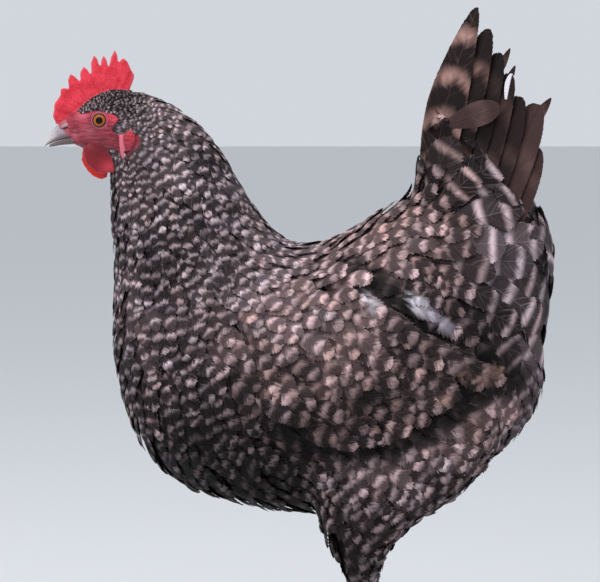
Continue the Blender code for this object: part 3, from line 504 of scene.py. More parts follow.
def vane_layout(lobes, fray, point, shift, random):
    """Where each point of each vane lies: s along, x across in half widths, barb, thickness."""
    count = len(fray)
    _, size = vane_pattern(lobes)
    s, x, barb, thick = np.zeros((4, count, size))
    knots = [vane_edge(np.full(count, k / lobes), point) for k in range(lobes + 1)]
    shaft = np.stack([np.clip(along - shift * wide, 0, SHAFT_END) for along, wide in knots], axis=1)
    shaft[:, 0] = 0.0
    shaft[:, lobes] = SHAFT_END
    s[:, :lobes + 1] = shaft
    barb[:, :lobes + 1] = shaft
    thick[:, :lobes + 1] = 0.5
    start = lobes + 1
    end = start + 6 * lobes
    for side in range(2):
        sign = 1 - 2 * side
        first = start + side * 3 * lobes
        for k in range(lobes):
            along, wide = knots[k]
            depth = fray * (0.20 + 0.40 * random.random(count)) * (0.25 + 0.75 * k / lobes)
            cut_s = along + (shaft[:, k] - along) * depth
            cut_x = wide * (1 - depth)
            middle, notch, tip = (first + row * lobes + k for row in range(3))
            s[:, middle] = shaft[:, k] + (cut_s - shaft[:, k]) * MIDDLE[0]
            x[:, middle] = sign * cut_x * MIDDLE[1]
            thick[:, middle] = MIDDLE[2]
            s[:, notch] = cut_s
            x[:, notch] = sign * cut_x
            barb[:, middle] = barb[:, notch] = shaft[:, k]
            along, wide = vane_edge(np.full(count, (k + 0.5) / lobes)
                                    + (random.random(count) - 0.5) * 0.5 / lobes, point)
            push = 1 + (random.random(count) - 0.5) * (0.015 + 0.25 * fray)
            s[:, tip] = along * (1 + (push - 1) * 0.5)
            x[:, tip] = sign * wide * push
            barb[:, tip] = (shaft[:, k] + shaft[:, k + 1]) / 2
    s[:, end] = 1.0 - 0.04 * random.random(count) * fray
    barb[:, end] = 0.985
    s[:, end + 1:] = shaft[:, :lobes]
    barb[:, end + 1:] = shaft[:, :lobes]
    thick[:, end + 1:] = -0.5
    return s, x, barb, thick


def sample_line(values, s):
    """Values given at equal steps of a line, read at the shares s of its length."""
    steps = values.shape[1] - 1
    at = np.clip(s, 0, 1) * steps
    low = np.clip(np.floor(at).astype(int), 0, steps - 1)
    part = (at - low)[..., None]
    row = np.arange(len(values))[:, None]
    return values[row, low] * (1 - part) + values[row, low + 1] * part


def vanes(paths, sizes, rng):
    """All points of a set of feathers on their paths, with the numbers that colour them."""
    places, ups, ways = paths
    count = len(places)
    long, wide, fray, point, depth, lift, swell, droop, roll, rise, bend, thickness = (
        np.broadcast_to(sizes.get(key, 0.0), count)[:, None] for key in VANE_SIZES)
    s, x, barb, thick = vane_layout(sizes["lobes"], fray[:, 0], point[:, 0],
                                    (BARB_SLANT * wide / (2 * long))[:, 0], rng)
    middle = sample_line(places, s)
    up = unit(sample_line(ups, s))
    way = unit(sample_line(ways, s))
    side = np.cross(up, way)
    half = wide / 2
    height = (-depth * np.clip(1 - s, 0, 1) ** 1.15 + lift * s ** 3
              + swell * np.sin(np.pi * np.clip((s - 0.50) / 0.52, 0, 1))
              - droop * x ** 2 * (0.4 + 0.6 * s) + roll * x * half
              + thick * thickness * (1 - 0.6 * s) + rise * s)
    bow = bend * long * (s ** 2 - 0.5 * s)
    points = middle + side * (x * half + bow)[..., None] + up * height[..., None]
    return points, np.stack([x, barb, s], axis=-1)


def add_mesh(name, points, triangles, material, sharp=None):
    """A smooth-shaded mesh object from arrays, with the edges above the angle sharp kept so."""
    mesh = bpy.data.meshes.new(name)
    mesh.vertices.add(len(points))
    mesh.vertices.foreach_set("co", np.ascontiguousarray(points, np.float32).ravel())
    mesh.loops.add(3 * len(triangles))
    mesh.loops.foreach_set("vertex_index", np.ascontiguousarray(triangles, np.int32).ravel())
    mesh.polygons.add(len(triangles))
    mesh.polygons.foreach_set("loop_start", np.arange(0, 3 * len(triangles), 3, dtype=np.int32))
    mesh.update(calc_edges=True)
    mesh.shade_smooth()
    if sharp:
        mesh.set_sharp_from_angle(angle=sharp)
    mesh.materials.append(material)
    obj = bpy.data.objects.new(name, mesh)
    link(obj)
    return obj


def add_field(mesh, name, values, kind="FLOAT"):
    """Stores a number, vector or colour for every point of a mesh."""
    if kind == "FLOAT_COLOR":
        values = np.hstack([values, np.ones((len(values), 1))])
    layer = mesh.attributes.new(name, kind, "POINT")
    key = {"FLOAT": "value", "FLOAT_VECTOR": "vector", "FLOAT_COLOR": "color"}[kind]
    layer.data.foreach_set(key, np.ascontiguousarray(values, np.float32).ravel())


def body_place(points):
    """Round-the-body and along-the-body coordinates, an unwrap of the skin's own tube."""
    spine = np.array(SPINE)
    best = np.full(len(points), np.inf)
    place = np.zeros((len(points), 2))
    start = 0.0
    for a, b in zip(spine[:-1], spine[1:]):
        run = b - a
        length = np.linalg.norm(run)
        part = np.clip(((points[:, 1:] - a) @ run) / length ** 2, 0, 1)
        off = points[:, 1:] - (a + part[:, None] * run)
        apart = np.hypot(np.linalg.norm(off, axis=1), points[:, 0] * 0.5)
        above = off @ np.array((-run[1], run[0])) / length
        here = np.stack([np.arctan2(np.abs(points[:, 0]), above), start + part * length], axis=1)
        place = np.where((apart < best)[:, None], here, place)
        best = np.minimum(best, apart)
        start += length
    return place


def bake_map(mesh, roots, marks, owner, across, length):
    """OFBake: every feather is a small patch at its root's place on the unwrapped skin."""
    place = body_place(roots)
    low, high = place.min(axis=0), place.max(axis=0)
    place = BAKE_EDGE + BAKE_SPAN * (place - low) / (high - low)
    uv = place[owner]
    uv[:, 0] += marks[:, 0] * across / 2
    uv[:, 1] += marks[:, 2] * length
    layer = mesh.uv_layers.new(name="OFBake")
    corner = np.empty(len(mesh.loops), np.int32)
    mesh.loops.foreach_get("vertex_index", corner)
    layer.uv.foreach_set("vector", np.ascontiguousarray(uv[corner], np.float32).ravel())


def tones(warmth, paleness, ground, rng):
    """Colours of the pale bars and of the dark ground, feather by feather."""
    look = bpy.context.scene.hen_plumage
    count = len(warmth)
    warm = np.clip(warmth + rng.normal(0, WARMTH_SPREAD, count), 0, 1)[:, None]
    bright = (paleness * np.exp(rng.normal(0, PALE_SPREAD, count))).clip(0, PALEST)[:, None]
    pale = (np.array(look.cream) * (1 - warm) + np.array(look.tan) * warm) * bright
    dark = np.array(look.black) * (1 - warm) + np.array(look.brown) * warm
    return pale, dark * (ground * np.exp(rng.normal(0, DARK_SPREAD, count)))[:, None]


def tone_and_shade(tips):
    """Brightness of the plumage round the given places, real tone with painted shade, a soft blend
    of the table.
    """
    table = np.array(TONES_AND_SHADE)
    apart = ((tips[:, None, 1:] - table[None, :, :2]) ** 2).sum(axis=2)
    weight = 1.0 / (apart + TONE_BLEND ** 2) ** 2
    patches = np.array([noise.noise(Vector(tip) * TONE_DRIFT[0]) for tip in tips])
    return (weight @ table[:, 2]) / weight.sum(axis=1) * np.exp(TONE_DRIFT[1] * patches)


def marked(points, pale, dark):
    """The colours with the white down and the rust tips of the wing laid over them."""
    look = bpy.context.scene.hen_plumage
    for y, z, half_long, half_wide, slope, kind in MARKS:
        run = np.array((1.0, slope)) / math.hypot(1.0, slope)
        off = points[:, 1:] - (y, z)
        along = off @ run / half_long
        across = off @ np.array((-run[1], run[0])) / half_wide
        ripple = 0.22 * (np.sin(off @ (1900, 2700)) + np.sin(off @ (-3100, 1700)))
        share = smoothstep(1.5, 0.6, np.hypot(along, across) + ripple)[:, None]
        share = share * (points[:, :1] > 0)
        colour = np.array(getattr(look, kind))
        pale = pale * (1 - share) + colour * share
        share = share * MARK_ON_DARK[kind]
        dark = dark * (1 - share) + colour * 0.6 * share
    return pale, dark


def edge_distance(points):
    """Distance of the points (y, z) from the free edge of the wing."""
    edge = np.array(WING_EDGE)
    best = np.full(len(points), np.inf)
    for a, b in zip(edge[:-1], edge[1:]):
        run = b - a
        part = np.clip(((points - a) @ run) / (run @ run), 0, 1)
        best = np.minimum(best, np.linalg.norm(points - a - part[:, None] * run, axis=1))
    return best


def feather_piece(name, roots, layout, lobes, colours, material, patch):
    """One piece of the coat, with the fields that its material reads and its bake map."""
    points, marks = (values.reshape(-1, 3) for values in layout)
    pale, dark, mark = colours
    faces, owner = vane_faces(lobes, len(roots))
    obj = add_mesh(name, points, faces, material, SHARP)
    add_field(obj.data, "vane", marks, "FLOAT_VECTOR")
    add_field(obj.data, "pale", pale, "FLOAT_COLOR")
    add_field(obj.data, "dark", dark, "FLOAT_COLOR")
    add_field(obj.data, "mark", mark[owner], "FLOAT_VECTOR")
    bake_map(obj.data, roots, marks, owner, *patch)
    return obj


def plant_coat():
    """Chooses every root, its path over the body and its sizes, once for all coat pieces."""
    if "coat" in workshop:
        return workshop["coat"]
    look = bpy.context.scene.hen_plumage
    rng = np.random.default_rng(look.seed)
    points, _, triangles, normals, tree = outline_surface()
    roots, faces = scattered(points, triangles, bare_share(points), rng)
    clothed = bare_share(roots) < 0.5
    roots, faces = roots[clothed], faces[clothed]
    shares, heading = kind_weights(roots)
    values = kind_values(shares)
    values[:, LONG] *= look.length
    up = unit(normals[triangles[faces]].sum(axis=1))
    away = SPREAD * np.sign(roots[:, :1]) * smoothstep(0, 0.01, np.abs(roots[:, :1]))
    way = np.hstack([away, heading])
    way = unit(way - up * (way * up).sum(axis=1, keepdims=True))
    across = np.cross(up, way)
    kept = thinned(roots, way, across, up, values)
    roots, way, up, across, values, shares = (
        a[kept] for a in (roots, way, up, across, values, shares))
    count = len(kept)
    way = unit(way + across * rng.normal(0, UNRULY, count)[:, None])
    long = values[:, LONG] * rng.uniform(0.86, 1.12, count)
    stiff = 0.10 + 0.25 * (values[:, LONG] > STIFF_LENGTH)
    paths = surface_paths(tree, normals, triangles, roots, way, long, stiff)
    workshop["coat"] = {"roots": roots, "paths": paths, "values": values, "long": long,
                        "kind": shares.argmax(axis=1)}
    return workshop["coat"]


def wing_relief(tips):
    """Which feathers are the wing's, how far each is from its edge, and how much it rises."""
    on_wing = inside(WING_EDGE + WING_FRONT, tips[:, 1], tips[:, 2]) & (tips[:, 2] > WING_FLOOR)
    apart = edge_distance(tips[:, 1:])
    rise = np.where(on_wing, WING_STEP[0] * smoothstep(0.034, 0.006, apart),
                    -WING_STEP[1] * smoothstep(0.026, 0.004, apart))
    return on_wing, apart, rise


def wing_shade(points, on_wing, rim):
    """Brightness of each point: paler on the wing's rim, darker with painted shade in the crease
    beside it.
    """
    low = smoothstep(0.255, 0.240, points[:, 2])
    apart = edge_distance(points[:, 1:]) - 0.005 * low
    crease = CREASE_SHADE + (1 - CREASE_SHADE) * smoothstep(0.003, 0.019, apart)
    return np.where(on_wing, 1.0 + 0.35 * smoothstep(0.014, 0.002, rim), crease)[:, None]


def coat_piece(name, kinds, side, sign, material):
    """All feathers of some kinds on one side of the hen, as one mesh."""
    coat = plant_coat()
    rng = np.random.default_rng(len(name) * 101 + (7 if sign > 0 else 3))
    below_top = (coat["paths"][0][:, -1, 2] < FEATHERS_TOP) | (coat["roots"][:, 1] < 0)
    chosen = np.nonzero(np.isin(coat["kind"], [ORDER.index(kind) for kind in kinds])
                        & ((coat["roots"][:, 0] >= 0) == (sign > 0)) & below_top)[0]
    values = coat["values"][chosen]
    paths = tuple(rows[chosen] for rows in coat["paths"])
    tips = paths[0][:, -2]
    count = len(chosen)
    wide = values[:, WIDE] * rng.uniform(0.88, 1.12, count)
    on_wing, apart, rise = wing_relief(tips)
    fray = np.clip(values[:, FRAY] * rng.uniform(0.8, 1.2, count), 0, 1)
    sizes = {
        "lobes": LOBES[name], "long": coat["long"][chosen], "wide": wide, "fray": fray,
        "point": values[:, POINT], "depth": values[:, DEPTH] * rng.uniform(0.85, 1.1, count),
        "lift": values[:, DEPTH] * (0.05 + 0.25 * fray ** 2) * rng.uniform(0.0, 1.6, count),
        "droop": values[:, DROOP] * rng.uniform(0.7, 1.3, count),
        "roll": rng.normal(0, 0.09, count), "bend": rng.normal(0, 0.05, count),
        "thick": 0.0002 + 0.012 * wide, "rise": rise,
        "swell": np.minimum(SWELL * values[:, STEP_ALONG], SWELL_MOST),
    }
    layout = vanes(paths, sizes, rng)
    # tone is real tone with painted shade on the underside; it sets the pale bars, the dark ground
    # and the veil over it
    tone = tone_and_shade(tips)
    warmth = values[:, WARMTH]
    if name == "coverts":
        warmth = warmth + COVERT_WARMTH * smoothstep(0.148, 0.118, tips[:, 1])
    pale, dark = tones(warmth, values[:, PALENESS] * tone ** 0.75, tone, rng)
    veil = (0.12 * (tone - 0.9)).clip(0, 0.1)[:, None]
    dark = dark * (1 - veil) + pale * veil
    _, owner = vane_faces(LOBES[name], count)
    points = layout[0].reshape(-1, 3)
    # painted shade in the crease beside the wing's edge, and a paler rim on the wing
    shade = wing_shade(points, on_wing[owner], apart[owner])
    pale, dark = marked(points, pale[owner] * shade, dark[owner] * shade)
    phase = rng.uniform(-0.3, 0.3, count) * (0.25 if name == "coverts" else 1.0)
    mark = np.stack([values[:, BARS], rng.uniform(0, 1, count), phase], axis=1)
    return feather_piece("coat_%s_%s" % (name, side), coat["roots"][chosen], layout, LOBES[name],
                         (pale, dark, mark), material, PATCH)


# ---------------- materials
class Finish:
    """A material being made from nodes, with short ways to add the common ones."""

    def __init__(self, name):
        self.material = bpy.data.materials.new(name)
        self.material.use_nodes = True
        self.nodes = self.material.node_tree.nodes
        self.links = self.material.node_tree.links
        self.nodes.clear()
        self.shader = self.nodes.new("ShaderNodeBsdfPrincipled")
        out = self.nodes.new("ShaderNodeOutputMaterial")
        self.links.new(self.shader.outputs["BSDF"], out.inputs["Surface"])

    def put(self, socket, value):
        """Plugs a node's output into a socket, or sets a plain value or colour on it."""
        if isinstance(value, bpy.types.NodeSocket):
            self.links.new(value, socket)
        elif value is not None:
            socket.default_value = (*value, 1.0) if socket.type == "RGBA" else value

    def field(self, name, output="Vector"):
        node = self.nodes.new("ShaderNodeAttribute")
        node.attribute_name = name
        return node.outputs[output]

    def parts(self, vector):
        node = self.nodes.new("ShaderNodeSeparateXYZ")
        self.put(node.inputs[0], vector)
        return node.outputs[0], node.outputs[1], node.outputs[2]

    def join(self, x, y, z):
        node = self.nodes.new("ShaderNodeCombineXYZ")
        for socket, value in zip(node.inputs, (x, y, z)):
            self.put(socket, value)
        return node.outputs[0]

    def math(self, operation, a, b=None, c=None):
        node = self.nodes.new("ShaderNodeMath")
        node.operation = operation
        for socket, value in zip(node.inputs, (a, b, c)):
            self.put(socket, value)
        return node.outputs[0]

    def times(self, a, b):
        return self.math("MULTIPLY", a, b)

    def plus(self, a, b):
        return self.math("ADD", a, b)

    def minus(self, a, b):
        return self.math("SUBTRACT", a, b)

    def ramp(self, value, low, high, to_low=0.0, to_high=1.0):
        """A smooth step between two values."""
        node = self.nodes.new("ShaderNodeMapRange")
        node.interpolation_type = "SMOOTHSTEP"
        for socket, given in zip(node.inputs, (value, low, high, to_low, to_high)):
            self.put(socket, given)
        return node.outputs[0]

    def noise(self, vector, scale, detail=2.0, rough=0.5):
        node = self.nodes.new("ShaderNodeTexNoise")
        self.put(node.inputs["Vector"], vector)
        node.inputs["Scale"].default_value = scale
        node.inputs["Detail"].default_value = detail
        node.inputs["Roughness"].default_value = rough
        return node.outputs["Fac"]

    def cells(self, vector, scale):
        node = self.nodes.new("ShaderNodeTexVoronoi")
        self.put(node.inputs["Vector"], vector)
        node.inputs["Scale"].default_value = scale
        return node.outputs["Distance"]

    def mix(self, share, a, b):
        """Colour a with a share of colour b over it."""
        node = self.nodes.new("ShaderNodeMix")
        node.data_type = "RGBA"
        for number, value in ((0, share), (6, a), (7, b)):
            self.put(node.inputs[number], value)
        return node.outputs[2]

    def place(self):
        return self.nodes.new("ShaderNodeTexCoord").outputs["Object"]

    def bump(self, height, strength, distance):
        node = self.nodes.new("ShaderNodeBump")
        node.inputs["Strength"].default_value = strength
        node.inputs["Distance"].default_value = distance
        self.put(node.inputs["Height"], height)
        return node.outputs[0]

    def finish(self, **sockets):
        for name, value in sockets.items():
            self.put(self.shader.inputs[name.replace("_", " ")], value)
        return self.material


def scaled(colour, share):
    """A colour made darker."""
    return tuple(share * part for part in colour)


def feather_finish(name, first, band, curve, edge_dark, rag, laced, gloss):
    """Barred feather: first is where the outermost pale bar starts, band its share of a bar.

    The bars bend towards the tip by curve, darken towards the edges by edge_dark and are ragged
    by rag; laced is how pale the very edge is, and gloss the roughness.
    """
    f = Finish(name)
    x, barb, s = f.parts(f.field("vane"))
    bars, chance, phase = f.parts(f.field("mark"))
    first = f.plus(phase, first)
    pale = f.field("pale", "Color")
    dark = f.field("dark", "Color")
    wide = f.math("ABSOLUTE", x)
    salt = f.times(chance, 57.0)
    # locks of barbs: each carries the bar a little further or less far than the next
    barbs = f.math("MULTIPLY_ADD", barb, 22.0, f.times(f.math("SIGN", x), 13.0))
    lock = f.noise(f.join(f.times(x, 0.8), barbs, salt), 1.0, 3.0, 0.65)
    drift = f.noise(f.join(f.times(x, 1.1), f.times(s, 3.0), salt), 1.5, 1.0)
    along = f.math("MULTIPLY_ADD", f.times(wide, wide), curve, s)
    along = f.plus(along, f.times(f.minus(lock, 0.5), 0.16 * rag))
    along = f.plus(along, f.times(f.minus(drift, 0.5), 0.14 * rag))
    count = f.times(f.minus(1.0, along), bars)
    part = f.math("FRACT", f.minus(count, first))
    rise = f.ramp(part, 0.0, BAR_BLUR)
    fall = f.ramp(part, band, band + BAR_BLUR, 1.0, 0.0)
    tip = f.ramp(f.minus(count, first), 0.0, 0.08)
    bar = f.times(f.times(rise, fall), tip)
    bar = f.times(bar, f.ramp(wide, 0.20, 0.90, 1.0, 1.0 - edge_dark))
    bar = f.times(bar, f.ramp(drift, 0.30, 0.60, 0.45, 1.0))
    bar = f.times(bar, f.ramp(lock, 0.25, 0.55, 0.55, 1.0))
    ground = f.mix(f.ramp(lock, 0.50, 0.78, 0.0, 0.16), dark, pale)
    colour = f.mix(bar, ground, pale)
    lace = f.times(f.ramp(wide, 0.80, 0.97, 0.0, laced), f.ramp(lock, 0.42, 0.66))
    colour = f.mix(lace, colour, pale)
    shaft = f.ramp(wide, 0.01, 0.04, 0.10, 0.0)
    colour = f.mix(shaft, colour, pale)
    ridge = f.plus(lock, f.times(f.ramp(wide, 0.0, 0.06, 1.0, 0.0), 0.8))
    return f.finish(Base_Color=colour, Roughness=gloss, Specular_IOR_Level=0.14,
                    Normal=f.bump(ridge, 0.6, 0.0010))


# ---------------- skin
HEAD_GROWTH, LEG_GROWTH = 0.0003, 0.0002
FACE_VOXEL, LEG_VOXEL = 0.00053, 0.0010
WATTLE_CORNER = (-0.1418, 0.3950)  # the wattles' lower rear corner, rounded off
CORNER_ROUNDS = 110
SOCKET_GAP, SOCKET_DEPTH = 0.00015, 0.00075  # the flesh behind each eyeball
CROWN_DEPTH = 0.0014  # how far the skin of the head lies below its feathers
SHRINK = 0.33  # share of the triangles kept under the coat
# bare red skin behind the lobe: place (y, z), half sizes, how far its middle lies inside the neck
EAR_PAD = ((-0.1290 + FRAME_SHIFT, 0.4180), (0.0034, 0.0062, 0.0098), 0.0024)
# folds round the lids: how far in from the opening, how much wider, thickness, start and sweep
LID_FOLDS = ((0.0012, 0.0026, 0.0008, 100.0, 160.0), (0.0020, 0.0045, 0.0008, 110.0, 140.0),
             (0.0010, 0.0025, 0.0010, -65.0, 130.0))
HOCK = (0.0400, 0.0468 + FRAME_SHIFT, 0.0850)
HOCK_RADIUS = 0.0078
SHANK_FLOOR = 0.020  # the shank begins at this height, and the toes lie below it
FOOT_MIDDLE = (0.0420, 0.0250)  # the toes' plates lie in rings round it
SHANK_PLATE, TOE_PLATE = 0.0036, 0.0030
PLATE_RISE, GRAIN_RISE = 0.00045, 0.00040


def tree_of(names):
    """A search tree of the named solids."""
    bm = node_copy(names, 0.0)
    tree = BVHTree.FromBMesh(bm)
    bm.free()
    return tree


def reach_of(tree, points, limit):
    """How far each point is from the solids of a tree, up to a limit."""
    result = np.full(len(points), limit)
    for i, p in enumerate(points):
        spot = tree.find_nearest(Vector(p), limit)
        if spot[3] is not None:
            result[i] = spot[3]
    return result


def bare_share(points):
    """1 on the red skin of the face, comb, wattles and lobes, 0 where feathers grow."""
    x, y, z = points.T
    edge = [(place + FRAME_SHIFT, height) for place, height in FACE_EDGE]
    face = inside(edge, y, z) & (np.abs(x) > 0.004)
    chin = (y < -0.150) & (z < 0.4125) & (z > 0.400)
    brow = (y < -0.1665) & (z < 0.4400)
    near = np.zeros(len(points), bool)
    region = np.nonzero((y < -0.105) & (z > 0.37))[0]
    near[region] = reach_of(tree_of(RED_PARTS), points[region], 0.002) < 0.0012
    return (face | brow | chin | near).astype(float)


def ring_tube(bm, centre, axis, major, minor, start=0.0, sweep=2 * math.pi, flat=1.0):
    """A tube bent round an axis, closed on itself or tapering to its two ends."""
    axis = axis.normalized()
    first = axis.orthogonal().normalized() if abs(axis.x) < 0.5 else Vector((0, 0, 1))
    first = (first - axis * first.dot(axis)).normalized()
    second = axis.cross(first)
    steps, sides = 48, 10
    rings = []
    closed = sweep == 2 * math.pi
    for i in range(steps if closed else steps + 1):
        t = i / steps
        turn = start + sweep * t
        out = first * math.cos(turn) + second * math.sin(turn)
        thick = minor * (1.0 if closed else math.sin(math.pi * (0.06 + 0.88 * t)) ** 0.6)
        rings.append([bm.verts.new(centre + out * (major + thick * math.cos(a))
                                   + axis * thick * flat * math.sin(a))
                      for a in (2 * math.pi * k / sides for k in range(sides))])
    for i in range(steps):
        a, b = rings[i], rings[(i + 1) % len(rings)]
        for k in range(sides):
            n = (k + 1) % sides
            bm.faces.new((a[k], a[n], b[n], b[k]))
    if not closed:
        bm.faces.new(rings[0][::-1])
        bm.faces.new(rings[-1])


def gaze(sign):
    """The way that an eye looks."""
    return Vector((sign, -0.08, 0.0)).normalized()


def on_side(place, sign):
    """A place of the left side, or its mirror place on the right."""
    return Vector((place[0] * sign, place[1], place[2]))


def off_gaze(points):
    """How far each point of the head is from the line that its side's eye looks along."""
    mirror = np.where(points > 0, 1.0, -1.0)
    mirror[:, 1:] = 1.0
    off = points - np.array(EYE_CENTRE) * mirror
    look = np.array(gaze(1.0)) * mirror
    return np.linalg.norm(off - look * (off * look).sum(axis=1, keepdims=True), axis=1)


def wrinkles(place, far, angle):
    """Height of the bare face: rings round the eye, folds towards the bill, and small pimples."""
    x, y, z = place
    rings = math.sin(far * 4600 + 1.6 * noise.noise(Vector((angle * 1.4, far * 300, x * 80))) * 2)
    rings *= smoothstep(0.0115, 0.0075, far)
    folds = noise.noise(Vector((x * 90, y * 150 + z * 40, z * 520)))
    pimples = max(0.0, 0.50 - noise.voronoi(place * 820)[0][0])
    calm = smoothstep(0.0058, 0.0070, far)
    crowd = 0.35 + 1.3 * max(0.0, noise.noise(place * 160) + 0.15)
    return calm * (0.00012 * rings + 0.00038 * folds + 0.00055 * crowd * pimples - 0.00010)


def comb_relief(place):
    """Height of the comb: grooves that run out to its points, and pebbles."""
    y, z = place.y - COMB_CENTRE[0], place.z - COMB_CENTRE[1]
    groove = noise.noise(Vector((math.atan2(z, y) * 11, math.hypot(y, z) * 60, place.x * 50)))
    pebbles = max(0.0, 0.52 - noise.voronoi(place * 640)[0][0])
    return 0.00034 * groove + 0.00040 * pebbles - 0.00008


def flap_relief(place):
    """Height of wattles and lobes: fine grain and shallow hanging creases."""
    crease = noise.noise(Vector((place.x * 60, place.y * 330, place.z * 70)))
    pebbles = max(0.0, 0.50 - noise.voronoi(place * 900)[0][0])
    return 0.00022 * crease + 0.00030 * pebbles - 0.00005


def move_points(mesh, points):
    """Puts the points of a mesh in their new places."""
    mesh.vertices.foreach_set("co", np.ascontiguousarray(points, np.float32).ravel())
    mesh.update()


def below_feathers(mesh):
    """The head's lump with its feathered parts let in by the depth of their coat."""
    points, edges, triangles = arrays(mesh)
    red = smoothstep(0.0026, 0.0012, reach_of(tree_of(RED_PARTS), points, 0.003))
    bare = np.maximum(bare_share(points), red)
    bare = relaxed(np.repeat(bare[:, None], 3, axis=1), edges, 6)[:, :1]
    move_points(mesh, points - normals_of(points, triangles) * CROWN_DEPTH * (1 - bare))
    return modified(mesh, ("REMESH", {"mode": "VOXEL", "voxel_size": FACE_VOXEL}))


def add_ball(bm, radius, centre, segments, stretch=(1.0, 1.0, 1.0)):
    """Adds a ball, or an ellipsoid where it is stretched."""
    verts = bmesh.ops.create_uvsphere(bm, u_segments=segments[0], v_segments=segments[1],
                                      radius=radius)["verts"]
    bmesh.ops.scale(bm, verts=verts, vec=stretch)
    bmesh.ops.translate(bm, verts=verts, vec=centre)


def face_lump():
    """Head, comb, wattles and lobes with the lids and folds of the face, as one mesh."""
    head = bpy.context.scene.hen_head
    bm = node_copy(("head",) + RED_PARTS, HEAD_GROWTH)
    for _, sign in SIDES:
        eye = on_side(EYE_CENTRE, sign)
        look = gaze(sign)
        add_ball(bm, head.eye + SOCKET_GAP, eye - look * SOCKET_DEPTH, (32, 24))
        out = math.sqrt(head.eye ** 2 - head.lid ** 2)
        ring_tube(bm, eye + look * (out + 0.0001), look, head.lid + 0.0007, 0.0008)
        for inward, wider, thick, start, sweep in LID_FOLDS:
            ring_tube(bm, eye + look * (out - inward), look, head.lid + wider, thick,
                      math.radians(start), math.radians(sweep), 0.8)
        y, z = EAR_PAD[0]
        wall = outline_surface()[4].ray_cast(Vector((0.1 * sign, y, z)), Vector((-sign, 0, 0)))[0]
        add_ball(bm, 1.0, wall - Vector((sign * EAR_PAD[2], 0, 0)), (24, 16), EAR_PAD[1])
    mesh = below_feathers(remeshed(bm, FACE_VOXEL))
    points, edges, triangles = arrays(mesh)
    comb, flaps = (smoothstep(0.0020, 0.0008, reach_of(tree_of(parts), points, 0.003))
                   for parts in (("comb",), RED_PARTS[1:]))
    red = np.maximum(comb, flaps)
    points = relaxed(points, edges, 4)
    points = relaxed(points, edges, 8, (1 - 0.80 * red)[:, None])
    corner = np.linalg.norm(points[:, 1:] - WATTLE_CORNER, axis=1)
    points = relaxed(points, edges, CORNER_ROUNDS, smoothstep(0.0080, 0.0030, corner)[:, None])
    normals = normals_of(points, triangles)
    bare = np.maximum(bare_share(points), red)
    soft = relaxed(np.repeat(bare[:, None], 3, axis=1), edges, 4)[:, 0]
    far = off_gaze(points)
    move = np.zeros(len(points))
    for i in np.nonzero(soft > 0.02)[0]:
        place = Vector(points[i])
        height = 0.0
        if comb[i] > 0:
            height += comb[i] * comb_relief(place)
        if flaps[i] > comb[i]:
            height += (flaps[i] - comb[i]) * flap_relief(place)
        if red[i] < 1:
            angle = math.atan2(place.z - EYE_CENTRE[2], place.y - EYE_CENTRE[1])
            height += (1 - red[i]) * wrinkles(place, far[i], angle)
        move[i] = height
    move_points(mesh, points + normals * (move * soft)[:, None])
    return mesh


def leg_lump():
    """Shanks and toes with their scutes and small scales, as one mesh."""
    bm = node_copy(LEGS, LEG_GROWTH)
    for _, sign in SIDES:
        add_ball(bm, HOCK_RADIUS, on_side(HOCK, sign), (24, 16))
    mesh = remeshed(bm, LEG_VOXEL)
    points, edges, triangles = arrays(mesh)
    points = relaxed(points, edges, 4, (points[:, 2:] >= 0.0006).astype(float))
    normals = normals_of(points, triangles)
    move = np.zeros(len(points))
    for i, (x, y, z) in enumerate(points):
        if z < 0.0015:
            continue
        nx, ny, nz = normals[i]
        grain = 0.40 - noise.voronoi(Vector((x, y, z)) * 520)[0][0]
        if z > SHANK_FLOOR:
            row = (z / SHANK_PLATE + 0.35 * nx) % 1.0
            front = max(0.0, min(1.0, (-ny - 0.25) * 4))
        else:
            row = (math.hypot(abs(x) - FOOT_MIDDLE[0], y - FOOT_MIDDLE[1]) / TOE_PLATE) % 1.0
            front = max(0.0, min(1.0, (nz - 0.05) * 4))
        plate = row - 0.5 if row < 0.85 else 0.35 - (row - 0.85) * 5.6
        move[i] = front * (PLATE_RISE * plate) + (1 - front) * GRAIN_RISE * grain
    points = points + normals * move[:, None]
    points[:, 2] = np.maximum(points[:, 2], 0.0)
    move_points(mesh, points)
    return mesh


def united(mesh, *others):
    """The union of closed meshes."""
    tools = [bpy.data.objects.new("tool", other) for other in others]
    for tool in tools:
        link(tool)
    result = modified(mesh, *(
        ("BOOLEAN", {"operation": "UNION", "solver": "EXACT", "object": tool}) for tool in tools))
    for tool, other in zip(tools, others):
        bpy.data.objects.remove(tool)
        bpy.data.meshes.remove(other)
    return result


def largest_part(points, edges, triangles):
    """The mesh without the specks that lie apart from its largest part."""
    label = np.arange(len(points))
    while True:
        low = np.minimum(label[edges[:, 0]], label[edges[:, 1]])
        after = label.copy()
        np.minimum.at(after, edges[:, 0], low)
        np.minimum.at(after, edges[:, 1], low)
        after = after[after]
        if (after == label).all():
            break
        label = after
    kept = label == np.bincount(label).argmax()
    number = np.cumsum(kept) - 1
    return points[kept], number[triangles[kept[triangles[:, 0]]]]


def under_coat():
    """The body inside its feathers, as deep below their tips as the coat is thick."""
    points, edges, triangles, normals, _ = outline_surface()
    shares, _ = kind_weights(points)
    depth = kind_values(shares)[:, DEPTH] * 1.05
    head = smoothstep(-0.128, -0.140, points[:, 1]) * smoothstep(0.395, 0.405, points[:, 2])
    depth = depth * (1 - head) + 0.0022 * head
    depth *= smoothstep(0.086, 0.120, points[:, 2])
    points = relaxed(points - normals * depth[:, None], edges, 3)
    mesh = bpy.data.meshes.new("under_coat")
    mesh.from_pydata(points.tolist(), [], triangles.tolist())
    return modified(mesh, ("DECIMATE", {"ratio": SHRINK}))


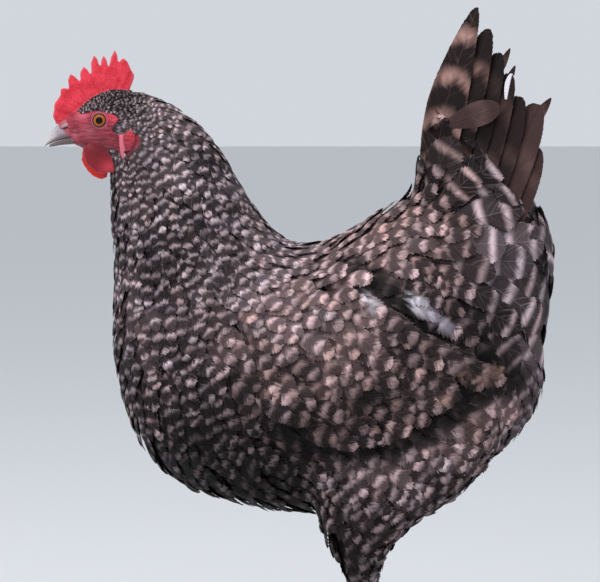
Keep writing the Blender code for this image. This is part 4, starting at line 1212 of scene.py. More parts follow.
# ---------------- skin finish and piece
def skin_finish():
    """Feathered ground, red face, comb and wattles, and scaly legs, told apart by fields, with
    painted shade in hollow places and painted highlights on tops and rims.
    """
    scene = bpy.context.scene
    head, legs, look = scene.hen_head, scene.hen_legs, scene.hen_plumage
    f = Finish("hen_skin")
    place = f.place()
    zone = f.nodes.new("ShaderNodeSeparateColor")
    f.put(zone.inputs[0], f.field("zone", "Color"))
    face, comb, leg = zone.outputs[0], zone.outputs[1], zone.outputs[2]
    grain = f.noise(place, 900.0, 3.0, 0.6)
    blotch = f.noise(place, 120.0, 3.0, 0.6)
    pebble = f.cells(place, 1300.0)
    bars = f.ramp(f.math("PINGPONG", f.field("row", "Fac"), 0.5), 0.20, 0.40)
    feathered = f.mix(f.times(bars, f.ramp(grain, 0.45, 0.65, 0.0, 0.7)), look.black,
                      scaled(look.cream, 0.22))
    relief = f.field("relief", "Fac")
    painted_hollow_shade = f.ramp(relief, 0.0, 0.8)
    tops = f.ramp(relief, -0.1, -0.8)
    # the face: blotches, patches of colour and of painted shade, pink grain and folds, painted
    # highlights on the tops of the folds, painted shade in the hollow places, lids and their rim
    red_face = f.mix(f.ramp(blotch, 0.38, 0.62), head.face, scaled(head.face, 0.6))
    red_face = f.mix(f.field("patch_and_shade_share", "Fac"), red_face, f.field("patch_and_shade", "Color"))
    red_face = f.mix(f.ramp(grain, 0.58, 0.70, 0.0, 0.35), red_face, head.face_pale)
    red_face = f.mix(f.times(tops, 0.36), red_face, head.face_pale)
    red_face = f.mix(f.times(painted_hollow_shade, 0.70), red_face, scaled(head.face, 0.22))
    ring = f.field("ring", "Fac")
    lid = f.times(f.ramp(ring, 0.0052, 0.0056), f.ramp(ring, 0.0067, 0.0061))
    red_face = f.mix(f.times(lid, 0.40), red_face, head.lid_skin)
    red_face = f.mix(f.ramp(ring, 0.0056, 0.0051), red_face, LID_RIM)
    # comb and wattles: tint is 1 on the left wattle, -1 on the right one and 0 elsewhere; the left
    # wattle takes a shaded copy of the red, the right one a lit copy
    red_comb = f.mix(f.ramp(blotch, 0.35, 0.65), head.comb, head.comb_deep)
    tint = f.field("tint", "Fac")
    red_comb = f.mix(f.math("MAXIMUM", tint, 0.0), red_comb, head.wattle)
    red_comb = f.mix(f.math("MAXIMUM", f.times(tint, -1.0), 0.0), red_comb, head.lit_wattle)
    red_comb = f.mix(f.times(f.math("MAXIMUM", tint, 0.0), f.field("patch_and_shade_share", "Fac")),
                     red_comb, f.field("patch_and_shade", "Color"))
    # painted shade in the comb's hollow places, and painted highlight on the tops of its pebbles
    red_comb = f.mix(f.times(painted_hollow_shade, 0.45), red_comb, scaled(head.comb_deep, 0.40))
    red_comb = f.mix(f.times(tops, f.math("MULTIPLY_ADD", tint, -0.1, 0.15)), red_comb,
                     head.comb_highlight)
    # painted highlight on the rims of comb and left wattle, and the lobes' own pink
    red_comb = f.mix(f.field("rim_highlight_and_lobes", "Fac"), red_comb, head.rim)
    scaly = f.mix(f.ramp(blotch, 0.35, 0.7), legs.scale, scaled(legs.scale, 0.6))
    # painted shade in the hollow places between the scales of the legs
    scaly = f.mix(painted_hollow_shade, scaly, scaled(legs.scale, 0.30))
    colour = f.mix(face, feathered, red_face)
    colour = f.mix(comb, colour, red_comb)
    colour = f.mix(leg, colour, scaly)
    height = f.plus(f.times(pebble, -0.6), f.times(grain, 0.6))
    gloss = f.math("MULTIPLY_ADD", f.math("MAXIMUM", face, comb), -0.25, 0.72)
    return f.finish(Base_Color=colour, Roughness=gloss, Specular_IOR_Level=0.22,
                    Subsurface_Weight=0.12, Subsurface_Radius=(0.004, 0.001, 0.001),
                    Subsurface_Scale=0.6, Normal=f.bump(height, 0.55, 0.0004))


LID_RIM = (0.035, 0.012, 0.014)
LEG_TOP = 0.0930  # where the scaly skin of the legs gives way to plumage
FULL_RELIEF = 0.00010  # a hollow as deep as this takes the full painted shade
SKIN_BAR = 0.008  # step of the faint bars under the coat
# patches of the face and left wattle that differ from the rest, mostly their own colour, the
# darkest one at the wattle's base painted shade: (y, z), radius, colour
FACE_PATCHES_AND_SHADE = (
    (-0.1425, 0.4365, 0.0066, (0.90, 0.060, 0.110)),
    (-0.1655, 0.4370, 0.0062, (0.62, 0.110, 0.155)),
    (-0.1600, 0.4245, 0.0075, (0.42, 0.100, 0.135)),
    (-0.1500, 0.4165, 0.0078, (0.170, 0.034, 0.044)),
    (-0.1590, 0.4160, 0.0050, (0.260, 0.044, 0.060)),
    (-0.1270, 0.4220, 0.0070, (0.520, 0.030, 0.050)),
    (-0.1715, 0.4215, 0.0044, (0.560, 0.140, 0.180)),
    (-0.1450, 0.3975, 0.0085, (0.560, 0.045, 0.070)),
    (-0.1540, 0.4090, 0.0070, (0.160, 0.008, 0.013)),
    (-0.1500, 0.4280, 0.0045, (0.340, 0.065, 0.090)),
)


def face_patches_and_shade(points):
    """The colour that the nearest patches give to each point, and how strongly."""
    total = np.zeros(len(points))
    colour = np.zeros((len(points), 3))
    most = np.zeros(len(points))
    for y, z, radius, tone in FACE_PATCHES_AND_SHADE:
        apart = np.hypot(points[:, 1] - y - FRAME_SHIFT, points[:, 2] - z) / radius
        weight = np.exp(-1.6 * apart ** 2)
        total += weight
        colour += weight[:, None] * tone
        most = np.maximum(most, weight)
    return colour / (total[:, None] + 1e-9), 0.9 * most


def paint_skin(mesh):
    """Stores where the skin is face, comb or leg, its rows, the painted highlight on rims with the
    lobes' own pink, and the relief that places painted shade and highlights.
    """
    points, edges, triangles = arrays(mesh)
    near = {}
    for part in RED_PARTS:
        reach = 0.0010 if part.startswith("earlobe") else 0.0020
        away = reach_of(tree_of((part,)), points, 0.004)
        near[part] = smoothstep(reach, 0.45 * reach, away)
    comb = np.max(list(near.values()), axis=0)
    face = np.maximum(bare_share(points), comb)
    leg = (points[:, 2] < LEG_TOP) & (np.abs(points[:, 0]) < 0.070) | (points[:, 2] < 0.030)
    zone = relaxed(np.stack([face, comb, leg.astype(float)], axis=1), edges, 3)
    normals = normals_of(points, triangles)
    # hollow is above 0 in a dip, which takes painted shade, and below 0 on a top, which takes a
    # painted highlight
    hollow = ((relaxed(points, edges, 5) - points) * normals).sum(axis=1)
    edge = -((relaxed(points, edges, 24) - points) * normals).sum(axis=1)
    # painted highlight on the rims of comb and left wattle, and the lobes' own pink
    red = near["comb"] + near["wattle_left"]
    rim = red * smoothstep(0.0002, 0.0007, edge) * 0.45
    rim += 0.8 * (near["earlobe_left"] + near["earlobe_right"])
    add_field(mesh, "zone", zone, "FLOAT_COLOR")
    add_field(mesh, "rim_highlight_and_lobes", np.clip(rim, 0, 1))
    add_field(mesh, "tint", near["wattle_left"] - near["wattle_right"])
    add_field(mesh, "relief", np.clip(hollow / FULL_RELIEF, -1, 1))
    add_field(mesh, "ring", off_gaze(points))
    add_field(mesh, "row", body_place(points)[:, 1] / SKIN_BAR)
    patch_and_shade, share = face_patches_and_shade(points)
    add_field(mesh, "patch_and_shade", patch_and_shade, "FLOAT_COLOR")
    add_field(mesh, "patch_and_shade_share", share)


# ---------------- eyes and horn
CORNEA = (0.00045, 0.75)  # how far the clear front bulges, and the angle where it ends


def eye_piece(side, sign):
    """One eyeball, with its clear bulge, and the fields that its iris is coloured by."""
    head = bpy.context.scene.hen_head
    look = gaze(sign)
    up = (Vector((0, 0, 1)) - look * look.z).normalized()
    across = look.cross(up)
    centre = on_side(EYE_CENTRE, sign)
    rows, sides = 40, 64
    points, away, turn = [], [], []
    for i in range(rows + 1):
        angle = math.pi * i / rows
        bulge = head.eye + CORNEA[0] * max(0.0, 1 - (angle / CORNEA[1]) ** 2)
        for k in range(sides):
            around = 2 * math.pi * k / sides
            way = (look * math.cos(angle) + up * math.sin(angle) * math.cos(around)
                   + across * math.sin(angle) * math.sin(around))
            points.append(centre + way * bulge)
            away.append(math.sin(angle) * head.eye if angle < math.pi / 2 else head.eye)
            turn.append(math.cos(around))
            if i in (0, rows):
                break
    faces = []
    last = 1 + (rows - 1) * sides
    for k in range(sides):
        n = (k + 1) % sides
        faces.append((0, 1 + k, 1 + n))
        faces.append((last, last - sides + n, last - sides + k))
        for i in range(rows - 2):
            a, b = 1 + i * sides, 1 + (i + 1) * sides
            faces += [(a + k, b + k, b + n), (a + k, b + n, a + n)]
    points, faces = np.array(points), np.array(faces)
    a, b, c = (points[faces[:, k]] for k in range(3))
    inward = (np.cross(b - a, c - a) * (a - np.array(centre))).sum(axis=1) < 0
    faces[inward] = faces[inward][:, ::-1]
    obj = add_mesh("eye_ball_" + side, points, faces, eye_finish(side))
    add_field(obj.data, "away", away)
    add_field(obj.data, "turn", turn)
    return obj


# brow is the painted shadow of the brow and upper lid on the top of the iris
EYE = {"black": (0.004, 0.003, 0.003), "inner": (0.35, 0.12, 0.02),
       "rim": (0.05, 0.014, 0.010), "brow": (0.16, 0.035, 0.010)}


def eye_finish(side):
    """Orange iris with fine rays, a black pupil, a dark rim, painted shadow of the brow on its top,
    and a wet gloss.
    """
    head = bpy.context.scene.hen_head
    f = Finish("eye_amber_" + side)
    away = f.field("away", "Fac")
    rays = f.noise(f.join(f.times(f.field("turn", "Fac"), 9.0),
                          f.times(away, 300.0), 0.0), 2.0, 3.0, 0.6)
    iris = f.mix(f.ramp(rays, 0.3, 0.7), head.iris, scaled(head.iris, 0.45))
    iris = f.mix(f.ramp(away, head.pupil, head.pupil + 0.0011, 0.55, 0.0), iris, EYE["inner"])
    colour = f.mix(f.ramp(away, head.pupil - 0.0001, head.pupil + 0.0002), EYE["black"], iris)
    colour = f.mix(f.ramp(away, 0.0043, 0.0050), colour, EYE["rim"])
    # painted shadow of the brow and upper lid, darker towards the top of the iris
    brow = f.ramp(f.field("turn", "Fac"), -0.2, 0.9, 0.0, 0.55)
    colour = f.mix(f.times(brow, f.ramp(away, 0.0026, 0.0046)), colour, EYE["brow"])
    return f.finish(Base_Color=colour, Roughness=0.30, Specular_IOR_Level=0.06,
                    Coat_Weight=0.25, Coat_Roughness=0.05, Coat_IOR=1.35)


def smooth_row(rows, at):
    """The row at a fractional place in a table, on a smooth curve through its rows."""
    last = len(rows) - 1
    i = max(0, min(last - 1, int(math.floor(at))))
    t = at - i
    a, b, c, d = rows[max(i - 1, 0)], rows[i], rows[i + 1], rows[min(i + 2, last)]
    return [0.5 * (2 * q + (r - p) * t + (2 * p - 5 * q + 4 * r - s) * t * t
                   + (3 * q - p - 3 * r + s) * t * t * t) for p, q, r, s in zip(a, b, c, d)]


# ridge (y, z), cutting edge (y, z), half width
UPPER_BILL = (
    (-0.1770, 0.4350, -0.1735, 0.4202, 0.0072),
    (-0.1812, 0.4331, -0.1785, 0.4192, 0.0068),
    (-0.1855, 0.4292, -0.1842, 0.4177, 0.0058),
    (-0.1893, 0.4248, -0.1890, 0.4159, 0.0044),
    (-0.1922, 0.4206, -0.1925, 0.4145, 0.0029),
    (-0.1941, 0.4166, -0.1944, 0.4134, 0.0013),
    (-0.1948, 0.4135, -0.1950, 0.4122, 0.0005),
)
LOWER_BILL = (
    (-0.1735, 0.4201, -0.1708, 0.4150, 0.0066),
    (-0.1785, 0.4191, -0.1770, 0.4146, 0.0062),
    (-0.1838, 0.4176, -0.1832, 0.4140, 0.0051),
    (-0.1882, 0.4158, -0.1883, 0.4132, 0.0036),
    (-0.1910, 0.4145, -0.1914, 0.4130, 0.0016),
)
# how square a section is, upright and across: where the two halves meet, and elsewhere
MEETING, ROUND = (5.0, 3.2), (2.3, 2.3)
NOSTRIL = (-0.1783 + FRAME_SHIFT, 0.4273)
MOUTH_LINE = (0.372, 0.4847)  # slope and height of the line between the halves
FLESH_EDGE = 0.2312 + FRAME_SHIFT  # y + 0.97 z where the horn gives way to the skin's red
# slit is painted shade inside the nostril's opening
HORN = {"edge": (0.13, 0.08, 0.065), "streak": (0.16, 0.12, 0.13), "mouth": (0.115, 0.070, 0.060),
        "flap": (0.42, 0.30, 0.33), "rim": (0.10, 0.05, 0.06), "slit": (0.02, 0.012, 0.012)}


def nostril_reach(y, z):
    """How far a place on the bill is from the nostril's slit and from its flap; 1 is the rim."""
    along = (y - NOSTRIL[0]) * 0.94 + (z - NOSTRIL[1]) * 0.34
    above = (z - NOSTRIL[1]) * 0.94 - (y - NOSTRIL[0]) * 0.34
    return (math.hypot(along / 0.0028, above / 0.0008),
            math.hypot(along / 0.0036, (above - 0.0019) / 0.0017))


def bill_piece(name, rows, upper, material):
    """One half of the bill, lofted finely, with the nostril and its flap on the upper half."""
    steps, sides = 60, 80
    points, level = [], []
    for i in range(steps + 1):
        row = smooth_row(rows, (len(rows) - 1) * (i / steps))
        top = Vector((0, row[0] + FRAME_SHIFT, row[1]))
        low = Vector((0, row[2] + FRAME_SHIFT, row[3]))
        centre, axis = (top + low) / 2, (top - low) / 2
        for k in range(sides):
            turn = 2 * math.pi * k / sides
            up, out = math.cos(turn), math.sin(turn)
            square = MEETING if (up < 0) == upper else ROUND
            up = math.copysign(abs(up) ** (2 / square[0]), up)
            out = math.copysign(abs(out) ** (2 / square[1]), out)
            ridge = 1.0 + (0.03 if upper else 0.0) * max(0.0, up) ** 6
            pinch = 1.0 - 0.10 * max(0.0, up) ** 2 * abs(out) if upper else 1.0
            p = centre + axis * up * ridge + Vector((row[4] * out * pinch, 0, 0))
            if upper:
                slit, flap = nostril_reach(p.y, p.z)
                side = smoothstep(0.2, 0.6, abs(out)) * math.copysign(1, out)
                p.x += side * (0.0009 * math.exp(-flap ** 4) - 0.0014 * math.exp(-slit * slit * 1.3)
                               - 0.0003 * math.exp(-((flap - 1.25) * 5) ** 2))
            points.append(p)
            level.append(up if upper else -1.0)
    faces = []
    for i in range(steps):
        for k in range(sides):
            a, b = i * sides + k, i * sides + (k + 1) % sides
            faces += [(a, b, b + sides), (a, b + sides, a + sides)]
    first, last = len(points), len(points) + 1
    points.append(sum(points[:sides], Vector()) / sides)
    points.append(sum(points[steps * sides:(steps + 1) * sides], Vector()) / sides)
    for k in range(sides):
        n = (k + 1) % sides
        faces.append((first, n, k))
        faces.append((last, steps * sides + k, steps * sides + n))
    points, faces = np.array(points), np.array(faces)
    a, b, c = (points[faces[:, k]] for k in range(3))
    if (np.cross(b - a, c - a) * (a - points.mean(axis=0))).sum() < 0:
        faces = faces[:, ::-1]
    obj = add_mesh(name, points, faces, material, math.radians(60))
    reach = np.array([nostril_reach(p[1], p[2]) if upper else (9.0, 9.0) for p in points])
    add_field(obj.data, "level", level + [0.0, 0.0])
    add_field(obj.data, "slit", reach[:, 0])
    add_field(obj.data, "flap", reach[:, 1])
    return obj


def bill_finish():
    """Grey horn, brown along the edge and pale at the tip, with pink flesh at its root."""
    head = bpy.context.scene.hen_head
    f = Finish("bill_horn_grained")
    place = f.place()
    x, y, z = f.parts(place)
    stretched = f.join(f.times(x, 900.0), f.times(y, 110.0), f.times(z, 700.0))
    streaks = f.noise(stretched, 1.0, 4.0, 0.6)
    tip = f.ramp(y, -0.1800, -0.1925)
    edge = f.ramp(f.field("level", "Fac"), -0.15, -0.75)
    colour = f.mix(tip, head.bill, head.bill_tip)
    colour = f.mix(f.times(edge, 0.75), colour, HORN["edge"])
    colour = f.mix(f.ramp(streaks, 0.35, 0.75, 0.0, 0.45), colour, HORN["streak"])
    mouth = f.math("MULTIPLY_ADD", y, MOUTH_LINE[0], MOUTH_LINE[1] - MOUTH_LINE[0] * FRAME_SHIFT)
    mouth = f.ramp(f.minus(z, mouth), 0.0016, -0.0008, 0.0, 0.72)
    mouth = f.times(mouth, f.ramp(y, -0.1925, -0.1860, 0.35, 1.0))
    colour = f.mix(mouth, colour, HORN["mouth"])
    fleshy = f.plus(f.times(z, 0.97), y)
    fleshy = f.math("MULTIPLY_ADD", f.minus(streaks, 0.5), 0.0015, fleshy)
    fleshy = f.ramp(fleshy, FLESH_EDGE, FLESH_EDGE + 0.0022)
    colour = f.mix(fleshy, colour, scaled(head.face_pale, 0.72))
    flap = f.field("flap", "Fac")
    colour = f.mix(f.ramp(flap, 1.05, 0.85, 0.0, 0.6), colour, HORN["flap"])
    rim = f.times(f.ramp(flap, 0.95, 1.10), f.ramp(flap, 1.50, 1.15))
    colour = f.mix(f.times(rim, 0.55), colour, HORN["rim"])
    # painted shade inside the nostril's slit
    slit = f.ramp(f.field("slit", "Fac"), 0.6, 1.3, 0.92, 0.0)
    colour = f.mix(slit, colour, HORN["slit"])
    return f.finish(Base_Color=colour, Roughness=0.42, Specular_IOR_Level=0.45,
                    Normal=f.bump(streaks, 0.35, 0.0003))


CLAW_LINES = (0.12, 0.08, 0.06)


def claw_finish():
    """Pale horn, darker and browner towards the point, with fine growth lines."""
    legs = bpy.context.scene.hen_legs
    f = Finish("claw_horn_grained")
    place = f.place()
    lines = f.noise(place, 1400.0, 3.0, 0.6)
    broad = f.noise(place, 160.0, 2.0)
    colour = f.mix(f.ramp(broad, 0.35, 0.7), legs.claw, scaled(legs.claw, 0.5))
    colour = f.mix(f.ramp(lines, 0.4, 0.8, 0.0, 0.4), colour, CLAW_LINES)
    return f.finish(Base_Color=colour, Roughness=0.4, Specular_IOR_Level=0.5,
                    Normal=f.bump(lines, 0.3, 0.0002))


# ---------------- scales
FOOT = (0.0420, 0.0250 + FRAME_SHIFT)
SHANK_FOOT = (0.0420, 0.0262 + FRAME_SHIFT, 0.0120)
TOE_RUNS = ((-30.0, 0.0450), (3.0, 0.0600), (37.0, 0.0480), (198.0, 0.0250))
SCUTE = (0.0042, 0.0080, 0.0080, 0.0013)  # step, length, width, droop of the edges
TOE_SCUTE = (0.0034, 0.0062, 0.0068, 0.0012)
SMALL_SCALE = (0.0026, 0.0042, 0.0034, 0.0003)
SCALE_TRIES = 14000
SCALE_GROWTH, SCALE_VOXEL = 0.0006, 0.0012  # of the surface that the scales lie on
SCALE_LOBES = 4


def legs_surface():
    """The shanks and toes as one smooth surface: points, triangles, normals and tree."""
    if "legs" not in workshop:
        mesh = remeshed(node_copy(LEGS, SCALE_GROWTH), SCALE_VOXEL)
        points, edges, triangles = arrays(mesh)
        bpy.data.meshes.remove(mesh)
        points = relaxed(points, edges, 4)
        tree = BVHTree.FromPolygons(points.tolist(), triangles.tolist())
        workshop["legs"] = (points, triangles, normals_of(points, triangles), tree)
    return workshop["legs"]


def scute_rows(sign):
    """Broad scales: two rows down the front of the shank and one along the top of each toe."""
    tree = legs_surface()[3]
    top = on_side(HOCK, sign)
    foot = on_side(SHANK_FOOT, sign)
    rows = []
    count = int((foot - top).length / SCUTE[0])
    for column in (0, 1):
        turn = 0.42 * (2 * column - 1)
        for k in range(count):
            centre = top.lerp(foot, (k + 0.5 * column) / count)
            hit = tree.ray_cast(centre, Vector((math.sin(turn), -math.cos(turn), 0)), 0.03)[0]
            rows.append((hit, foot - top, SCUTE))
    for degrees, length in TOE_RUNS:
        turn = math.radians(degrees)
        way = Vector((math.sin(turn) * sign, -math.cos(turn), 0))
        for k in range(int((length - 0.007) / TOE_SCUTE[0])):
            above = on_side((*FOOT, 0.05), sign) + way * (0.010 + TOE_SCUTE[0] * k)
            hit = tree.ray_cast(above, Vector((0, 0, -1)), 0.06)[0]
            if hit is not None and hit.z < 0.022:
                rows.append((hit, way, TOE_SCUTE))
    return [(tuple(hit), tuple(way.normalized()), size) for hit, way, size in rows if hit]


def small_scales(sign, rng):
    """Small round scales all over the rest of the legs."""
    points, triangles, normals, _ = legs_surface()
    roots, chosen = strewn(points, triangles, areas(points, triangles), SCALE_TRIES, rng)
    up = unit(normals[triangles[chosen]].sum(axis=1))
    shank = roots[:, 2] > SHANK_FLOOR
    broad = np.where(shank, up[:, 1] < -0.72, up[:, 2] > 0.72)
    keep = (roots[:, 0] * sign > 0) & ~broad & (roots[:, 2] > 0.0022) & (up[:, 2] > -0.45)
    roots, up, shank = roots[keep], up[keep], shank[keep]
    out = np.hstack([roots[:, :2] - (FOOT[0] * sign, FOOT[1]), np.zeros((len(roots), 1))])
    way = np.where(shank[:, None], (0.0, -0.2, -1.0), unit(out))
    way = unit(way - up * (way * up).sum(axis=1, keepdims=True))
    values = np.full((len(roots), 2), SMALL_SCALE[0])
    kept = thinned(roots, way, np.cross(up, way), up, values)
    return roots[kept], way[kept]


def scale_finish():
    """Pinkish white horn, darker at the edge of each scale, with faint stains."""
    f = Finish("leg_scale_horn")
    x, _, s = f.parts(f.field("vane"))
    place = f.place()
    stain = f.noise(place, 130.0, 3.0, 0.6)
    grain = f.noise(place, 1500.0, 2.0, 0.6)
    edge = f.math("MAXIMUM", f.ramp(f.math("ABSOLUTE", x), 0.62, 1.0), f.ramp(s, 0.86, 1.0))
    pale, dark = f.field("pale", "Color"), f.field("dark", "Color")
    colour = f.mix(f.times(edge, 0.75), pale, dark)
    colour = f.mix(f.ramp(stain, 0.45, 0.75, 0.0, 0.55), colour, dark)
    return f.finish(Base_Color=colour, Roughness=f.ramp(grain, 0.3, 0.7, 0.45, 0.62),
                    Specular_IOR_Level=0.3, Normal=f.bump(grain, 0.4, 0.0002))


def scale_piece(side, sign, material):
    """All scales of one leg, as one mesh of overlapping plates."""
    rng = np.random.default_rng(61 if sign > 0 else 67)
    _, triangles, normals, tree = legs_surface()
    rows = scute_rows(sign)
    roots, ways = small_scales(sign, rng)
    sizes = np.array([row[2] for row in rows] + [SMALL_SCALE] * len(roots))
    roots = np.vstack([[row[0] for row in rows], roots])
    ways = np.vstack([[row[1] for row in rows], ways])
    count = len(roots)
    long = sizes[:, 1] * rng.uniform(0.92, 1.08, count)
    paths = surface_paths(tree, normals, triangles, roots, ways, long, np.zeros(count))
    shape = {"lobes": SCALE_LOBES, "long": long, "depth": 0.0004, "thick": 0.0004,
             "wide": sizes[:, 2] * rng.uniform(0.94, 1.06, count),
             "lift": 0.04 * sizes[:, 0], "swell": 0.10 * sizes[:, 0], "droop": sizes[:, 3],
             "roll": rng.normal(0, 0.03, count)}
    layout = vanes(paths, shape, rng)
    layout[0][..., 2] = np.maximum(layout[0][..., 2], 0.0002)
    tone = np.exp(rng.normal(0, 0.10, (count, 1)))
    _, owner = vane_faces(SCALE_LOBES, count)
    pale = (np.array(bpy.context.scene.hen_legs.scale) * tone)[owner]
    mark = np.zeros((count, 3))
    mark[:, 1] = rng.uniform(0, 1, count)
    return feather_piece("scales_" + side, roots, layout, SCALE_LOBES,
                         (pale, 0.38 * pale, mark), material, SCALE_PATCH)


# ---------------- tail
# main tail feathers of one side, front to back: tip (y, z), width, paleness, ground, bars,
# phase of the bars, point
TAIL = (
    (0.1326, 0.5183, 0.0330, 0.62, 0.42, 5.6, 0.35, 1.00),
    (0.1417, 0.5020, 0.0320, 0.26, 0.38, 5.0, 0.60, 0.40),
    (0.1500, 0.4840, 0.0310, 0.08, 0.40, 3.0, 0.20, 0.30),
    (0.1577, 0.4682, 0.0310, 0.10, 0.60, 3.2, 0.30, 0.30),
    (0.1655, 0.4510, 0.0310, 0.16, 0.80, 3.4, 0.90, 0.25),
    (0.1790, 0.4454, 0.0310, 0.20, 2.40, 2.6, 0.60, 0.10),
    (0.1785, 0.4130, 0.0280, 0.22, 1.80, 3.0, 0.50, 0.15),
)
# loose feathers of the left side: root (x, y, z), tip (x, y, z), width, point, paleness, ground
LOOSE = (
    ((0.0240, 0.1130, 0.4310), (0.0290, 0.1500, 0.4440), 0.0190, 0.00, 0.36, 2.0),
    ((0.0040, 0.1450, 0.4600), (0.0030, 0.1590, 0.4875), 0.0065, 0.95, 0.30, 1.8),
    ((0.0050, 0.1500, 0.4450), (0.0040, 0.1628, 0.4745), 0.0065, 0.95, 0.30, 1.8),
    ((0.0060, 0.1720, 0.4250), (0.0050, 0.1900, 0.4500), 0.0080, 0.95, 0.30, 2.0),
    ((0.0196, 0.1555, 0.4490), (0.0182, 0.1592, 0.4685), 0.0072, 0.20, 1.30, 9.0),
)
TAIL_ROOT_FRONT = (0.1020, 0.3420)  # where the foremost and the last feather start
TAIL_ROOT_BACK = (0.1520, 0.3330)
TAIL_BOW = 0.0125  # how far the foremost feather's shaft bows forward
TAIL_TENT = math.radians(27.0)  # how much the feathers slope away from the middle
TAIL_CUP = 0.0016  # how far the edges droop
TAIL_FIRST_X = 0.0096  # how far out the foremost feather stands
TAIL_STEP = 0.0042  # how far further out the next one may stand
TAIL_THICK, TAIL_AIR = 0.0012, 0.0009  # room for a vane, and between two
TAIL_VANE = 0.0009  # thickness of a vane along its shaft
TAIL_WIDTH = 0.031  # of the feather that droops by TAIL_CUP
TAIL_FRAY = 0.04
TAIL_LOBES, TAIL_STEPS = 44, 14
LOOSE_BARS, LOOSE_PHASE = 1.2, 0.15
RUSSET = (1.06, 0.92, 0.84)  # how much redder the tail is than the body


def tail_shaft(number, t):
    """The feather's middle line in the hen's own plane, and its direction there."""
    share = number / (len(TAIL) - 1)
    root = Vector((0, TAIL_ROOT_FRONT[0] + (TAIL_ROOT_BACK[0] - TAIL_ROOT_FRONT[0]) * share,
                   TAIL_ROOT_FRONT[1] + (TAIL_ROOT_BACK[1] - TAIL_ROOT_FRONT[1]) * share))
    run = Vector((0, TAIL[number][0], TAIL[number][1])) - root
    sweep = Vector((0, -run.z, run.y)).normalized()
    bow = TAIL_BOW * (1 - 0.6 * share)
    place = root + run * t + sweep * bow * math.sin(math.pi * t) * (1 - 0.25 * t)
    ahead = run.normalized() + sweep * (bow / run.length) * math.pi * math.cos(math.pi * t)
    return place, ahead.normalized()


def tail_out(number, t):
    """How far the feather's shaft stands out sideways, so that it lies under the one in front."""
    if number == 0:
        return TAIL_FIRST_X + 0.0030 * (1 - t)
    place, _ = tail_shaft(number, t)
    start, _ = tail_shaft(number - 1, 0)
    end, _ = tail_shaft(number - 1, 1)
    level = (place - start).dot(end - start) / (end - start).length_squared
    here, ahead = tail_shaft(number - 1, level)
    apart = (place - here).cross(ahead).length
    bend = TAIL_CUP * min(1.0, apart / 0.015) ** 2
    step = apart * math.sin(TAIL_TENT) - bend - TAIL_THICK / math.cos(TAIL_TENT) - TAIL_AIR
    return tail_out(number - 1, level) + min(TAIL_STEP, step)


def tail_path(number, sign):
    """A main tail feather's middle line: places, normals towards the side, and directions."""
    path = []
    for k in range(TAIL_STEPS + 1):
        t = k / TAIL_STEPS
        centre, ahead = tail_shaft(number, t)
        back = Vector((0, ahead.z, -ahead.y))
        back = -back if back.y < 0 else back
        across = back * math.cos(TAIL_TENT) + Vector((math.sin(TAIL_TENT), 0, 0))
        normal = across.cross(ahead).normalized()
        normal = -normal if normal.x < 0 else normal
        place = (tail_out(number, t), centre.y + FRAME_SHIFT, centre.z)
        path.append((on_side(place, sign), on_side(normal, sign), ahead))
    return zip(*path)


def loose_path(row):
    """A straight loose feather's middle line: places, normals towards the side, directions."""
    start, end = Vector(row[0]), Vector(row[1])
    ahead = (end - start).normalized()
    up = (Vector((1, 0, 0)) - ahead * ahead.x).normalized()
    return zip(*((start.lerp(end, k / TAIL_STEPS), up, ahead) for k in range(TAIL_STEPS + 1)))


def tail_piece(side, sign, material):
    """The main tail feathers of one side, each a closed, barbed blade on its own shaft."""
    rng = np.random.default_rng(41 if sign > 0 else 43)
    paths = [tail_path(number, sign) for number in range(len(TAIL))]
    wide, paleness, ground, bars, phase, point = np.array(TAIL).T[2:]
    if sign > 0:
        paths += [loose_path(row) for row in LOOSE]
        extra = np.array([row[2:] for row in LOOSE]).T
        wide, point, paleness, ground = (
            np.append(own, more) for own, more in zip((wide, point, paleness, ground), extra))
        bars = np.append(bars, [LOOSE_BARS] * len(LOOSE))
        phase = np.append(phase, [LOOSE_PHASE] * len(LOOSE))
    count = len(paths)
    places, ups, ways = (np.array(rows, float) for rows in zip(*paths))
    long = np.linalg.norm(np.diff(places, axis=1), axis=2).sum(axis=1)
    sizes = {"lobes": TAIL_LOBES, "long": long, "wide": wide, "fray": TAIL_FRAY, "point": point,
             "droop": TAIL_CUP * (wide / TAIL_WIDTH) ** 2, "thick": TAIL_VANE}
    layout = vanes((places, ups, ways), sizes, rng)
    pale, dark = tones(np.ones(count), paleness, ground, rng)
    pale, dark = pale * RUSSET, dark * RUSSET
    if sign > 0:        # the last loose feather is a white one
        pale[-1] = dark[-1] = bpy.context.scene.hen_plumage.down
    _, owner = vane_faces(TAIL_LOBES, count)
    mark = np.stack([bars, rng.uniform(0, 1, count), phase], axis=1)
    return feather_piece("tail_" + side, places[:, 0], layout, TAIL_LOBES,
                         (pale[owner], dark[owner], mark), material, TAIL_PATCH)


# ---------------- settings
def paint(name, description, *default):
    """A setting that is a colour."""
    return FloatVectorProperty(name=name, description=description, default=default,
                               subtype="COLOR")


def amount(name, description, default, unit):
    """A setting that is a length or a power."""
    return FloatProperty(name=name, description=description, default=default, unit=unit)


class HenPlumage(bpy.types.PropertyGroup):
    """Sizes and colours of the feathers."""
    seed: IntProperty(name="Seed", description="Number that the scatter of feathers starts from",
                      default=11, min=0)
    length: FloatProperty(name="Feather length", description="Length against the usual length",
                          default=1.0, min=0.5, max=1.5, subtype="FACTOR")
    cream: paint("Cream", "Pale bars of neck and rump", 0.58, 0.455, 0.495)
    tan: paint("Tan", "Pale bars of back and wings", 0.56, 0.352, 0.330)
    black: paint("Black", "Dark bars of neck and breast", 0.014, 0.0090, 0.0105)
    brown: paint("Brown", "Dark bars of back and wings", 0.027, 0.0155, 0.016)
    down: paint("Down", "White down that shows beside the wing", 0.88, 0.82, 0.90)
    lilac: paint("Lilac", "Greyer down further along", 0.50, 0.42, 0.50)
    rust: paint("Rust", "Rusty tips of the folded flight feathers", 0.42, 0.25, 0.20)


